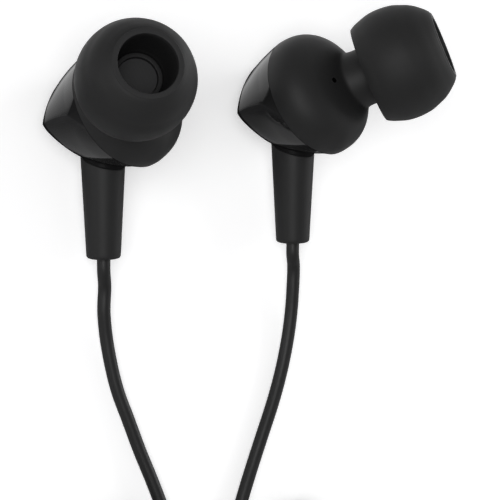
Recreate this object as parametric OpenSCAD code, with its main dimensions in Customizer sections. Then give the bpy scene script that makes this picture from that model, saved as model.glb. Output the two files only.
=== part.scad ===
// Wired in-ear earphones, laid on a table.
// Each earpiece is built in its own axes: +z forward along the body, +y up the stem side, x sideways.
// The nozzle of the left earpiece leans to +x. The right earpiece is its mirror image.
// The stem leans back from the body, the nozzle leans in towards the ear canal.

/* [Shell] */
// Radius of the round joint between the rear cover and the front housing
shell_r = 6.7; // [6.5:0.05:7.1]
// Height of the front dome in front of the joint
dome_h = 5.3; // [5.1:0.05:5.8]
// Fullness of the dome's shoulder, 2 is a plain ellipse
dome_fullness = 2.2; // [2.1:0.02:2.4]
// Depth of the rear cover behind the joint
cover_d = 5.5; // [5.2:0.1:5.8]
// Height of the slight crown on the rear face
crown_h = 0.5; // [0.3:0.1:0.8]
// How far each side corner of the rear diamond stands out
rear_side = 6.25; // [6:0.05:6.5]
// Height of the rear diamond's side corners above the body axis
side_lift = 1; // [0.6:0.1:1.2]
// Height of the rear diamond's top corner above the body axis
rear_top = 6.1; // [5.8:0.1:6.4]
// How far the upper edges of the diamond bow out
upper_bow = 0.6; // [0.45:0.05:0.75]
// How far the lower edges of the diamond bow out
lower_bow = 0.8; // [0.6:0.05:1]
// Radius of the creases at the corners
crease_r = 0.15; // [0.1:0.05:0.3]
// Depth behind the joint where each crease opens into a triangle
crease_start = 1.5; // [1.2:0.1:2]
// Half angle that each of those triangles spans at the joint
crease_span = 16; // [12:1:20]
// Wall of the rear cover
cover_wall = 0.8; // [0.7:0.05:0.9]
// Wall of the spigot that locates the front housing in the cover
spigot_wall = 0.75; // [0.65:0.05:0.85]
// Length of that spigot
spigot_l = 1.2; // [1:0.1:1.4]
// Radius of the vent hole in the dome
vent_r = 0.22; // [0.2:0.01:0.3]
// Angle of the vent hole from the body axis, on the side away from the nozzle
vent_angle = 21; // [19:1:23]

/* [Nozzle] */
// Sideways lean of the nozzle from the body axis
nozzle_angle = 30.4; // [29:0.2:32]
// Where the nozzle axis starts, behind the joint
nozzle_back = 1.9; // [1.7:0.1:2.1]
// Radius of the neck between the dome and the ear tip
neck_r = 3.05; // [2.95:0.05:3.1]
// Where the neck ends, along the nozzle axis
neck_end = 8.1; // [8:0.05:8.15]
// Radius of the collar at the root of the neck
collar_r = 3.35; // [3.25:0.05:3.6]
// Where the collar ends, along the nozzle axis
collar_end = 7.2; // [7.1:0.05:7.4]
// Radius of the nozzle tube
tube_r = 2.3; // [2.2:0.05:2.4]
// Radius of the bead that holds the ear tip
bead_r = 2.54; // [2.5:0.02:2.6]
// Length of the bead
bead_l = 0.7; // [0.6:0.05:0.9]
// Where the nozzle ends, along the nozzle axis
nozzle_end = 12.2; // [12:0.1:12.5]
// Radius of the sound bore
sound_bore_r = 1.75; // [1.6:0.05:1.85]
// Radius of the nozzle mesh
mesh_r = 2.05; // [2:0.05:2.1]
// Thickness of the nozzle mesh
mesh_t = 0.3; // [0.2:0.05:0.4]
// Depth of the mesh below the nozzle's end
mesh_depth = 0.3; // [0.1:0.05:0.4]

/* [Ear tip] */
// Largest radius of the ear tip
tip_r = 6.1; // [5.8:0.1:6.4]
// Length of the ear tip from its rear rim to its front lip
tip_l = 8.5; // [8.3:0.1:8.8]
// How far the front lip stands in front of the nozzle's end
tip_front = 4.24; // [4.1:0.02:4.4]
// Outer radius of the front lip
lip_r = 3.72; // [3.62:0.02:3.82]
// Radius of the front opening
opening_r = 3.06; // [2.96:0.02:3.12]
// Thickness of the skirt
skirt_t = 0.5; // [0.4:0.05:0.6]
// Wall of the inner tube that grips the nozzle
grip_wall = 0.46; // [0.42:0.02:0.5]
// Radial clearance between the inner tube and the bead
tip_clearance = 0.03; // [0.02:0.01:0.05]
// Gap between the inner tube and the end of the neck
tip_seat_gap = 0.15; // [0.1:0.05:0.25]

/* [Stem] */
// Backward lean of the stem from the plane of the joint
stem_lean = 26.4; // [25.4:0.2:27.4]
// Where the stem axis crosses the body axis, behind the joint
stem_back = 3; // [2.9:0.1:3.2]
// Distance from that crossing to the free end of the boot
boot_end = 14.5; // [14:0.1:15]
// Distance from that crossing to the seam at the top of the boot
boot_top = 4.35; // [4.2:0.05:4.6]
// Slant of that seam, lower at the front
seam_slant = 18.6; // [17:0.2:20]
// Radius of the boot at the seam
boot_top_r = 2.3; // [2.2:0.05:2.4]
// Radius of the boot at its free end
boot_end_r = 1.8; // [1.7:0.05:1.9]
// Radius of the rounded edge at the boot's free end
boot_round = 0.35; // [0.25:0.05:0.45]
// Radius of the boot's plug inside the cover
plug_core_r = 1.45; // [1.35:0.05:1.5]
// Clearance of parts that are glued or pressed together
seat_gap = 0.03; // [0.02:0.01:0.04]

/* [Driver] */
// Outer radius of the driver frame
driver_r = 4.6; // [4.4:0.05:4.7]
// Front of the driver frame, in front of the joint
driver_front = 1.3; // [1.2:0.1:1.4]
// Thickness of the driver frame
driver_t = 2.5; // [2.4:0.1:2.6]
// Thickness of the front gasket
gasket_t = 0.3; // [0.2:0.05:0.4]
// Width of the frame's front rim
rim_w = 0.6; // [0.5:0.05:0.7]
// Outer radius of the yoke
yoke_r = 2.55; // [2.45:0.05:2.65]
// Wall of the yoke
yoke_wall = 0.7; // [0.6:0.05:0.8]
// Height of the yoke
yoke_h = 1.8; // [1.7:0.05:1.85]
// Radius of the magnet
magnet_r = 1.2; // [1.1:0.05:1.25]
// Height of the magnet
magnet_h = 0.8; // [0.7:0.05:0.85]
// Height of the top plate
plate_h = 0.4; // [0.3:0.05:0.45]
// Mean radius of the voice coil
coil_r = 1.6; // [1.57:0.01:1.63]
// Wall of the voice coil
coil_wall = 0.14; // [0.1:0.02:0.18]
// Thickness of the diaphragm film
film_t = 0.08; // [0.06:0.01:0.1]
// Thickness of the terminal board
board_t = 0.4; // [0.3:0.05:0.5]

/* [Cord] */
// Diameter of each branch cord
branch_d = 1.4; // [1.2:0.1:1.4]
// Diameter of the main cord
main_d = 2; // [1.8:0.1:2]
// Outer loop radius of each branch coil
branch_coil_r = 10.9; // [10.5:0.1:11.1]
// Step between neighbouring loops of a branch coil
branch_pitch = 1.86; // [1.82:0.02:1.9]
// Outer loop radius of the main coil
main_coil_r = 14.8; // [14.4:0.1:15]
// Step between neighbouring loops of the main coil
main_pitch = 2.46; // [2.42:0.02:2.5]
// Height of the tie under each coil
tie_t = 0.55; // [0.5:0.05:0.65]
// Width of each tie
tie_w = 3.2; // [2.5:0.1:4]
// Clearance between a tie and its loops
tie_clearance = 0.12; // [0.1:0.02:0.2]

/* [Splitter] */
// Radius of the splitter body
splitter_r = 2.5; // [2.4:0.05:2.7]
// Length of the splitter body
splitter_l = 12; // [11:0.5:13]
// Length of the splitter's flexible collar
splitter_collar_l = 3.4; // [3:0.2:3.6]
// Distance between the two branch cords at the splitter
branch_spacing = 1.7; // [1.6:0.05:1.9]

/* [Plug] */
// Radius of the plug contacts, a 3.5 mm jack
jack_r = 1.75; // [1.75:0.01:1.75]
// Length of the plug contacts
jack_l = 14; // [14:0.5:15]
// Radius of the plug grip
grip_r = 3.2; // [3:0.1:3.3]
// Length of the plug grip
grip_l = 12; // [11:0.5:13]
// Length of the strain relief behind the grip
relief_l = 7; // [6:0.5:7.5]
// Width of each insulating ring
insulator_w = 0.6; // [0.5:0.05:0.7]

/* [Placement] */
// Turn of each earpiece about X, Y and Z as it lies
lie_x = -18.8; // [-19.4:0.1:-18.2]
// Turn about Y
lie_y = 21.5; // [21:0.1:22]
// Turn about Z
lie_z = 6.8; // [6.2:0.1:7.4]
// Height of the joint centres above the table
lie_height = 7.45; // [7.45:0.05:7.7]
// Place of the right earpiece
right_x = -13.75; // [-15:0.25:-13]
// Place of the right earpiece along Y
right_y = 2.25; // [1:0.25:3]
// Place of the left earpiece
left_x = 8.75; // [8:0.25:10]
// Place of the left earpiece along Y
left_y = 3.95; // [3:0.05:5]

/* [Hidden] */
$fn = 64;

black_matte = [0.055, 0.055, 0.06];
black_gloss = [0.03, 0.03, 0.035];
black_rubber = [0.07, 0.07, 0.075];
silver = [0.75, 0.75, 0.76];
copper = [0.72, 0.42, 0.25];

// ---------- derived sizes of the earpiece ----------
bay_r = driver_r + seat_gap;
spigot_r = bay_r + spigot_wall + 0.35;
spigot_bore_r = spigot_r + seat_gap;
driver_back = driver_front - driver_t;
ledge_z = driver_front + gasket_t;
recess_depth = mesh_depth + mesh_t;
lip_s = nozzle_end + tip_front;
rim_s = lip_s - tip_l;
grip_bore_r = bead_r + tip_clearance;
grip_outer_r = grip_bore_r + grip_wall;
grip_end_s = neck_end + tip_seat_gap;
cord_bore_r = branch_d / 2 + seat_gap;
yoke_back = driver_back - 0.3;
yoke_top = yoke_back + yoke_h;
magnet_back = yoke_back + 0.6;
plate_back = magnet_back + magnet_h;
film_z = driver_front - 0.35;
knot_s = 1.5;
knot_r = plug_core_r - 0.45;
plug_core_top = knot_s + knot_r + 0.15;

// ---------- placement ----------
module right_place() {
    translate([right_x, right_y, lie_height])
        rotate([lie_x, lie_y, lie_z])
            mirror([1, 0, 0])
                children();
}

module left_place() {
    translate([left_x, left_y, lie_height])
        rotate([lie_x, lie_y, lie_z])
            children();
}

module nozzle_axis() {
    translate([0, 0, -nozzle_back])
        rotate([0, nozzle_angle, 0])
            children();
}

module stem_axis() {
    translate([0, 0, -stem_back])
        rotate([90 + stem_lean, 0, 0])
            children();
}

// Everything above the slanted seam between cover and boot, in stem axes
module above_seam() {
    translate([0, 0, boot_top])
        rotate([seam_slant, 0, 0])
            translate([-6, -6, -20])
                cube([12, 12, 20]);
}

module below_seam(gap) {
    translate([0, 0, boot_top - gap])
        rotate([seam_slant, 0, 0])
            translate([-6, -6, 0])
                cube([12, 12, 20]);
}

// ---------- shell ----------
// Super-ellipse: (r/a)^n + (z/h)^n = 1
function dome_profile(a, h, n, steps) =
    [for (i = [0 : steps]) let(t = 90 * i / steps) [a * pow(cos(t), 2 / n), h * pow(sin(t), 2 / n)]];

// The rear cover is a loft. Its rings all have the same points: four corner arcs and four edges.
edge_n = 10;
arc_n = 4;
foot_y = (boot_top + 0.3 - (cover_d - stem_back) * sin(stem_lean)) / cos(stem_lean);
rear_corners = [[rear_side, side_lift], [0, rear_top], [-rear_side, side_lift], [0, -foot_y]];
edge_bows = [upper_bow, upper_bow, lower_bow, lower_bow];

function lerp(a, b, f) = a + (b - a) * f;
function corner_angle(i) = [0, 90, 180, 270][i % 4];
function corner_arc(c, i, r) =
    [for (k = [0 : arc_n]) let(w = corner_angle(i) + crease_span * (2 * k / arc_n - 1))
        c * (1 - r / norm(c)) + r * [cos(w), sin(w)]];
function bowed_edge(a, b, bow) =
    let(d = unit(b - a), out = [d[1], -d[0]])
    [for (j = [1 : edge_n - 1]) let(f = j / edge_n) lerp(a, b, f) + 4 * f * (1 - f) * bow * out];
function cornered_ring(corners, bows) =
    let(arcs = [for (i = [0 : 3]) corner_arc(corners[i], i, crease_r)])
    [for (i = [0 : 3]) each concat(arcs[i], bowed_edge(arcs[i][arc_n], arcs[(i + 1) % 4][0], bows[i]))];
function round_ring(r) =
    [for (i = [0 : 3]) each concat(
        [for (k = [0 : arc_n]) let(w = corner_angle(i) + crease_span * (2 * k / arc_n - 1)) r * [cos(w), sin(w)]],
        [for (j = [1 : edge_n - 1])
            let(w = corner_angle(i) + crease_span + (90 - 2 * crease_span) * j / edge_n) r * [cos(w), sin(w)]])];

// At crease_start the edges lie on the straight lines from the joint to the rear edge
crease_f = crease_start / cover_d;
joint_ring = round_ring(shell_r);
rear_ring = cornered_ring(rear_corners, edge_bows);
crease_corners = [for (i = [0 : 3])
    let(w = corner_angle(i)) 0.99 * lerp(shell_r * [cos(w), sin(w)], rear_corners[i], crease_f)];
edge_mid = [for (i = [0 : 3]) let(m = i * (arc_n + edge_n) + arc_n + edge_n / 2)
    lerp(joint_ring[m], rear_ring[m], crease_f)];
crease_bows = [for (i = [0 : 3])
    norm(edge_mid[i] - (crease_corners[i] + crease_corners[(i + 1) % 4]) / 2)];
crease_ring = cornered_ring(crease_corners, crease_bows);
rear_centre = [0, side_lift];

function at_z(ring, z) = [for (q = ring) [q[0], q[1], z]];
function scaled_ring(ring, c, f) = [for (q = ring) lerp(c, q, f)];

module cover_loft() {
    rings = [
        at_z(joint_ring, 0), at_z(crease_ring, -crease_start), at_z(rear_ring, -cover_d),
        at_z(scaled_ring(rear_ring, rear_centre, 0.94), -cover_d - 0.14 * crown_h),
        at_z(scaled_ring(rear_ring, rear_centre, 0.7), -cover_d - 0.55 * crown_h),
        at_z(scaled_ring(rear_ring, rear_centre, 0.35), -cover_d - 0.9 * crown_h)
    ];
    n = len(joint_ring);
    m = len(rings);
    pts = concat([for (q = rings) each q], [[0, 0, 0], [0, side_lift, -cover_d - crown_h]]);
    walls = [for (i = [0 : m - 2]) for (k = [0 : n - 1])
        let(a = i * n + k, b = i * n + (k + 1) % n, c = a + n, d = b + n) each [[a, b, c], [b, d, c]]];
    front = [for (k = [0 : n - 1]) [m * n, (k + 1) % n, k]];
    back = [for (k = [0 : n - 1]) [m * n + 1, (m - 1) * n + k, (m - 1) * n + (k + 1) % n]];
    polyhedron(points = pts, faces = concat(walls, front, back));
}

module cover_cavity() {
    translate([0, 0, -spigot_l - 0.05])
        cylinder(h = spigot_l + 0.2, r = spigot_bore_r);
    inner_z = -cover_d + cover_wall;
    hull() {
        translate([0, 0, -spigot_l - 0.06])
            cylinder(h = 0.02, r = spigot_bore_r - 0.4, $fn = 48);
        for (x = [-1, 1])
            translate([x * (rear_side - 4.4), side_lift - 0.3, inner_z])
                cylinder(h = 0.02, r = 3.35 - cover_wall, $fn = 32);
        translate([0, rear_top - 4.3, inner_z])
            cylinder(h = 0.02, r = 3.5 - cover_wall, $fn = 32);
    }
}

module rear_cover() {
    color(black_gloss)
        difference() {
            union() {
                difference() {
                    cover_loft();
                    stem_axis()
                        intersection() {
                            cylinder(h = boot_end, r = boot_top_r + 0.25);
                            below_seam(0);
                        }
                }
                stem_axis()
                    difference() {
                        translate([0, 0, -0.5])
                            cylinder(h = boot_top + 2, r = boot_top_r);
                        below_seam(0);
                    }
            }
            cover_cavity();
            stem_axis()
                translate([0, 0, 0.2])
                    cylinder(h = boot_top + 3, r = plug_core_r + seat_gap);
        }
}

module front_housing() {
    color(black_matte)
        difference() {
            union() {
                translate([0, 0, seat_gap])
                    rotate_extrude()
                        polygon(concat([[0, 0]], dome_profile(shell_r, dome_h, dome_fullness, 14)));
                translate([0, 0, -spigot_l])
                    cylinder(h = spigot_l + 0.1, r = spigot_r);
                nozzle_axis() {
                    translate([0, 0, 4.5])
                        cylinder(h = collar_end - 4.5 - 0.2, r = collar_r);
                    translate([0, 0, collar_end - 0.2])
                        cylinder(h = 0.2, r1 = collar_r, r2 = neck_r + 0.05);
                    translate([0, 0, 4.5])
                        cylinder(h = neck_end - 4.5, r = neck_r);
                    translate([0, 0, neck_end - 0.1])
                        cylinder(h = nozzle_end - neck_end + 0.1, r = tube_r);
                    translate([0, 0, nozzle_end - bead_l - 0.3])
                        cylinder(h = 0.3, r1 = tube_r, r2 = bead_r);
                    translate([0, 0, nozzle_end - bead_l])
                        cylinder(h = bead_l, r = bead_r);
                }
            }
            translate([0, 0, -spigot_l - 0.1])
                cylinder(h = spigot_l + ledge_z + 0.1, r = bay_r);
            translate([0, 0, ledge_z - 0.01])
                rotate_extrude()
                    polygon(concat([[0, 0]], dome_profile(driver_r - rim_w - 0.1, 3, 2, 8)));
            nozzle_axis() {
                translate([0, 0, 4.6])
                    cylinder(h = nozzle_end, r = sound_bore_r);
                translate([0, 0, nozzle_end - recess_depth])
                    cylinder(h = 2, r = mesh_r + seat_gap);
            }
            rotate([0, -vent_angle, 0])
                translate([0, 0, 3])
                    cylinder(h = 6, r = vent_r, $fn = 24);
        }
}

module nozzle_mesh() {
    color([0.12, 0.12, 0.125])
        nozzle_axis()
            translate([0, 0, nozzle_end - recess_depth])
                cylinder(h = mesh_t, r = mesh_r);
}

// ---------- driver ----------
module driver_gasket() {
    color(black_rubber)
        translate([0, 0, driver_front + 0.01])
            difference() {
                cylinder(h = gasket_t - 0.02, r = driver_r);
                translate([0, 0, -1])
                    cylinder(h = 3, r = driver_r - rim_w - 0.1);
            }
}

module driver_frame() {
    color([0.2, 0.2, 0.21])
        difference() {
            translate([0, 0, driver_back])
                cylinder(h = driver_t, r = driver_r);
            translate([0, 0, film_z])
                cylinder(h = 3, r = driver_r - rim_w);
            translate([0, 0, yoke_top + 0.05])
                cylinder(h = 5, r = driver_r - rim_w - 0.55);
            translate([0, 0, driver_back - 1])
                cylinder(h = 5, r = yoke_r + seat_gap);
            for (a = [0 : 60 : 300])
                rotate([0, 0, a])
                    translate([(yoke_r + driver_r - rim_w) / 2, 0, driver_back - 1])
                        cylinder(h = 5, r = 0.3, $fn = 24);
        }
}

// Flat edge, half-round surround, then a shallow dome over the voice coil
module diaphragm() {
    rim_outer = driver_r - rim_w - seat_gap;
    rim_inner = rim_outer - 0.45;
    roll_in = coil_r + coil_wall;
    roll_mid = (rim_inner + roll_in) / 2;
    roll_half = (rim_inner - roll_in) / 2;
    lower = [for (i = [0 : 8]) let(t = 180 * i / 8)
        [roll_mid + roll_half * cos(t), 0.28 * sin(t)]];
    cap = [for (i = [1 : 5]) [(roll_in - 0.1) * (1 - i / 5), 0.3 * (1 - pow(1 - i / 5, 2))]];
    line = concat([[rim_outer, 0], [rim_inner + 0.05, 0]], lower, cap);
    back = [for (i = [len(line) - 1 : -1 : 0]) [line[i][0], line[i][1] + film_t]];
    color([0.45, 0.42, 0.36])
        translate([0, 0, film_z + 0.01])
            rotate_extrude()
                polygon(concat(line, back));
}

module voice_coil() {
    color(copper)
        translate([0, 0, plate_back - 0.1])
            difference() {
                cylinder(h = film_z - plate_back + 0.1, r = coil_r + coil_wall / 2);
                translate([0, 0, -1])
                    cylinder(h = 6, r = coil_r - coil_wall / 2);
            }
}

module top_plate() {
    color(silver)
        translate([0, 0, plate_back])
            cylinder(h = plate_h, r = magnet_r + 0.12);
}

module magnet() {
    color([0.35, 0.35, 0.37])
        translate([0, 0, magnet_back])
            cylinder(h = magnet_h, r = magnet_r);
}

module yoke() {
    color(silver)
        difference() {
            translate([0, 0, yoke_back])
                cylinder(h = yoke_h, r = yoke_r);
            translate([0, 0, magnet_back])
                cylinder(h = 5, r = yoke_r - yoke_wall);
            translate([0, 0, yoke_back - 1])
                cylinder(h = 5, r = 0.4, $fn = 24);
        }
}

module terminal_board() {
    color([0.1, 0.32, 0.16])
        difference() {
            translate([0, 0, yoke_back - board_t])
                cylinder(h = board_t, r = yoke_r - 0.1);
            translate([-5, 1.3, yoke_back - board_t - 1])
                cube([10, 5, 5]);
            for (x = [-1, 1])
                translate([x, -0.6, yoke_back - board_t - 1])
                    cylinder(h = 5, r = 0.25, $fn = 24);
            translate([0, 0, yoke_back - board_t - 1])
                cylinder(h = 5, r = 0.4, $fn = 24);
        }
}

// ---------- stem ----------
module boot() {
    color(black_matte)
        stem_axis()
            difference() {
                union() {
                    difference() {
                        union() {
                            translate([0, 0, 2])
                                cylinder(h = boot_end - boot_round - 2, r1 = boot_top_r + 0.13, r2 = boot_end_r);
                            translate([0, 0, boot_end - boot_round])
                                rotate_extrude()
                                    boot_tip_profile();
                        }
                        translate([0, 0, seat_gap])
                            above_seam();
                    }
                    translate([0, 0, plug_core_top])
                        cylinder(h = boot_top, r = plug_core_r);
                }
                cylinder(h = boot_end + 1, r = cord_bore_r, $fn = 48);
            }
}

module boot_tip_profile() {
    square([boot_end_r - boot_round, boot_round]);
    intersection() {
        translate([boot_end_r - boot_round, 0])
            circle(r = boot_round, $fn = 32);
        square([boot_end_r, boot_round]);
    }
}

// The cord inside the boot, with the knot that stops it from pulling out
module cord_anchor() {
    color(black_rubber)
        stem_axis() {
            translate([0, 0, knot_s])
                cylinder(h = boot_end - knot_s, r = branch_d / 2, $fn = 48);
            translate([0, 0, knot_s])
                sphere(r = knot_r, $fn = 48);
        }
}

// ---------- ear tip ----------
// Outer line as shares of the largest radius and of the length, rear rim first
skirt_line = [
    [0.846, 0.000], [0.884, 0.045], [0.936, 0.140], [0.966, 0.205], [0.989, 0.280], [1.000, 0.385],
    [0.995, 0.470], [0.968, 0.590], [0.917, 0.690], [0.874, 0.765], [0.816, 0.835], [0.752, 0.893],
    [0.688, 0.945], [0.637, 0.978]
];

function skirt_outer(i) = [skirt_line[i][0] * tip_r, rim_s + skirt_line[i][1] * tip_l];

// Inner line of the skirt lies one skirt thickness inside the outer line
function skirt_inner(i) =
    let(
        a = skirt_outer(max(i - 1, 0)),
        b = skirt_outer(i + 1),
        d = b - a,
        m = norm(d)
    )
    skirt_outer(i) + [-d[1], d[0]] / m * skirt_t * (i == 0 ? 0.75 : 1);

module ear_tip() {
    rear_to_front = [for (i = [0 : len(skirt_line) - 1]) skirt_outer(i)];
    inner_back = [for (i = [10 : -1 : 0]) skirt_inner(i)];
    lip = [
        [lip_r, lip_s - 0.06], [lip_r - 0.15, lip_s], [opening_r + 0.18, lip_s],
        [opening_r + 0.05, lip_s - 0.07], [opening_r, lip_s - 0.25]
    ];
    bore = [
        [opening_r - 0.02, lip_s - 1.5], [opening_r - 0.12, lip_s - 2.8],
        [grip_bore_r + 0.12, nozzle_end + 0.35], [grip_bore_r, nozzle_end + 0.1],
        [grip_bore_r, grip_end_s]
    ];
    tube = [
        [grip_outer_r - 0.1, grip_end_s], [grip_outer_r, grip_end_s + 0.1],
        [grip_outer_r, nozzle_end + 0.2], [opening_r + grip_wall - 0.05, lip_s - 2.6],
        [opening_r + grip_wall + 0.25, lip_s - 1.9]
    ];
    color(black_rubber)
        nozzle_axis()
            rotate_extrude()
                polygon(concat(rear_to_front, lip, bore, tube, inner_back));
}

// ---------- swept cords ----------
function unit(v) = v / norm(v);
function path_dir(p, i) =
    i == 0 ? unit(p[1] - p[0]) :
    i == len(p) - 1 ? unit(p[i] - p[i - 1]) :
    unit(unit(p[i + 1] - p[i]) + unit(p[i] - p[i - 1]));

function ring_at(p, i, r, sides) =
    let(
        t = path_dir(p, i),
        a = unit(cross([0, 0, 1], t)),
        b = cross(t, a)
    )
    [for (k = [0 : sides - 1]) let(w = 360 * (k + 0.5) / sides) p[i] + r * (cos(w) * a + sin(w) * b)];

module swept(p, r, sides) {
    n = len(p);
    pts = [for (i = [0 : n - 1]) each ring_at(p, i, r, sides)];
    sides_a = [for (i = [0 : n - 2]) for (k = [0 : sides - 1])
        let(k2 = (k + 1) % sides) [i * sides + k, (i + 1) * sides + k, i * sides + k2]];
    sides_b = [for (i = [0 : n - 2]) for (k = [0 : sides - 1])
        let(k2 = (k + 1) % sides) [i * sides + k2, (i + 1) * sides + k, (i + 1) * sides + k2]];
    first = [for (k = [1 : sides - 2]) [0, k, k + 1]];
    m = (n - 1) * sides;
    last = [for (k = [1 : sides - 2]) [m, m + k + 1, m + k]];
    polyhedron(points = pts, faces = concat(sides_a, sides_b, first, last));
}

// ---------- ends of the cords ----------
// Euler turn of an earpiece direction into table directions
function turn_x(v, a) = [v[0], v[1] * cos(a) - v[2] * sin(a), v[1] * sin(a) + v[2] * cos(a)];
function turn_y(v, a) = [v[0] * cos(a) + v[2] * sin(a), v[1], -v[0] * sin(a) + v[2] * cos(a)];
function turn_z(v, a) = [v[0] * cos(a) - v[1] * sin(a), v[0] * sin(a) + v[1] * cos(a), v[2]];
function laid(v) = turn_z(turn_y(turn_x(v, lie_x), lie_y), lie_z);

stem_dir = laid([0, -cos(stem_lean), -sin(stem_lean)]);
stem_root = laid([0, 0, -stem_back]);
right_exit = [right_x, right_y, lie_height] + stem_root + boot_end * stem_dir;
left_exit = [left_x, left_y, lie_height] + stem_root + boot_end * stem_dir;

// ---------- coils ----------
// Loops lie in layers. Each layer spirals in or out at a steady rate over turn_steps steps of 15
// degrees, and the cord climbs to the next layer in the half turn where the spiral reverses.
function ease(f) = f * f * (3 - 2 * f);
function coil_r_at(i, steps, r_out, r_in) =
    let(
        block = steps + 12,
        j = floor(i / block),
        k = i - j * block,
        rate = (r_out - r_in) / steps,
        past = k > steps ? rate * min(k - steps, 12 - (k - steps)) : 0,
        f = min(1, k / steps)
    )
    j % 2 == 0 ? r_out + f * (r_in - r_out) - past : r_in + f * (r_out - r_in) + past;
function coil_z_at(i, steps, z0, pitch) =
    let(block = steps + 12, j = floor(i / block), f = max(0, (i - j * block - steps) / 12))
    z0 + pitch * (j + ease(f));
function coil_points(centre, r_out, pitch, steps, layers, z0, a0, hand) =
    let(r_in = r_out - pitch * steps / 24, last = layers * steps + (layers - 1) * 12)
    [for (i = [0 : last])
        let(r = coil_r_at(i, steps, r_out, r_in), a = a0 - hand * 15 * i)
        [centre[0] + r * cos(a), centre[1] + r * sin(a), coil_z_at(i, steps, z0, pitch)]];
// Least distance between centre lines of loops, less the cord's diameter
function coil_gap(p, d) =
    min([for (i = [0 : len(p) - 7]) min([for (j = [i + 6 : len(p) - 1]) norm(p[i] - p[j])])]) - d;

// Each tie sits at an angle where no loop climbs
branch_tie_angle = 80;
main_tie_angle = 235;
table_gap = tie_t + tie_clearance;
entry_angle = 14;
right_coil_c = [-13.2, -52];
left_coil_c = [11, -52];
branch_steps = 54;
branch_z = table_gap + branch_d / 2;
right_loops = coil_points(right_coil_c, branch_coil_r, branch_pitch, branch_steps, 2, branch_z, entry_angle, 1);
left_loops = coil_points(left_coil_c, branch_coil_r, branch_pitch, branch_steps, 2, branch_z, 180 - entry_angle, -1);

main_angle = 35;
main_coil_c = [-8.9, -93];
main_steps = 62;
main_z = table_gap + main_d / 2;
main_loops = coil_points(main_coil_c, main_coil_r, main_pitch, main_steps, 4, main_z, main_angle, 1);

echo("least gap of the right branch coil", coil_gap(right_loops, branch_d));
echo("least gap of the left branch coil", coil_gap(left_loops, branch_d));
echo("least gap of the main coil", coil_gap(main_loops, main_d));

// ---------- splitter ----------
splitter_top = [-1.1, -59.5, splitter_r];
splitter_bottom = splitter_top - [0, splitter_l + splitter_collar_l, 0];

// Where the branch cords meet the splitter
right_joint = splitter_top - [branch_spacing / 2, 0, 0];
left_joint = splitter_top + [branch_spacing / 2, 0, 0];

// ---------- free stretches ----------
// Points along the table, rounded by hand to a tenth
right_mid = [
    [-13.1, -16, 2.1], [-13, -18.6, 1.7], [-12.6, -21, 1.3], [-12, -23.8, 1.1], [-11.1, -27, 1],
    [-9.8, -30.2, 1], [-8.5, -33.4, 1], [-7.1, -36.6, 1.1], [-5.8, -39.8, 1.2], [-4.5, -43, 1.3],
    [-3.4, -46.3, 1.35]
];
left_mid = [
    [9.4, -13.9, 2.2], [9.6, -16.5, 1.7], [9.6, -19.2, 1.3], [9.2, -22.4, 1.1], [8.5, -25.6, 1],
    [7.5, -28.8, 1], [6.3, -32, 1], [5.1, -35.2, 1], [3.9, -38.4, 1.1], [2.7, -42, 1.2], [1.4, -46, 1.35]
];
right_entry_dir = [sin(entry_angle), -cos(entry_angle), 0];
left_entry_dir = [-sin(entry_angle), -cos(entry_angle), 0];
right_entry = right_loops[0] - branch_d * right_entry_dir;
left_entry = left_loops[0] - branch_d * left_entry_dir;

module right_branch_cord() {
    color(black_rubber)
        swept(concat([right_exit, right_exit + 1.4 * stem_dir], right_mid,
            [right_entry - branch_d * right_entry_dir, right_entry]), branch_d / 2, 8);
}

module left_branch_cord() {
    color(black_rubber)
        swept(concat([left_exit, left_exit + 1.4 * stem_dir], left_mid,
            [left_entry - branch_d * left_entry_dir, left_entry]), branch_d / 2, 8);
}

// Each branch coil runs on to the splitter
module right_branch_coil() {
    lead = [[-2.1, -52, 3.1], [-1.95, -54.4, 2.8], [-1.95, -56.6, 2.55]];
    color(black_rubber)
        swept(concat([right_entry], right_loops, lead,
            [right_joint + [0, branch_d, 0], right_joint]), branch_d / 2, 6);
}

module left_branch_coil() {
    lead = [[-0.1, -52, 3.1], [-0.25, -54.4, 2.8], [-0.25, -56.6, 2.55]];
    color(black_rubber)
        swept(concat([left_entry], left_loops, lead,
            [left_joint + [0, branch_d, 0], left_joint]), branch_d / 2, 6);
}

module main_cord() {
    mid = [[-0.9, -78.2, 2.1], [-0.3, -79.9, 1.8]];
    color(black_rubber)
        swept(concat([splitter_bottom, splitter_bottom - [0, main_d, 0]], mid,
            [main_entry - main_d * main_dir, main_entry]), main_d / 2, 8);
}

main_dir = [sin(main_angle), -cos(main_angle), 0];
main_entry = main_loops[0] - main_d * main_dir;
relief_end = [16, -85, grip_r];

module main_coil() {
    lead = [
        [-7.2, -78, 9.05], [-3.2, -77, 8.9], [1, -75.7, 8.1], [5, -74.9, 6.8], [9, -75, 5.5],
        [12.6, -76.5, 4.4],
        [14.9, -79, 3.6], [15.7, -81, 3.3]
    ];
    color(black_rubber)
        swept(concat([main_entry], main_loops, lead, [relief_end + [0, main_d, 0], relief_end]), main_d / 2, 6);
}

// ---------- ties ----------
module slot_2d(w, h, r) {
    translate([r, 0])
        square([w - 2 * r, h]);
    translate([0, r])
        square([w, h - 2 * r]);
    for (x = [r, w - r])
        for (y = [r, h - r])
            translate([x, y])
                circle(r = r, $fn = 32);
}

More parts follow.
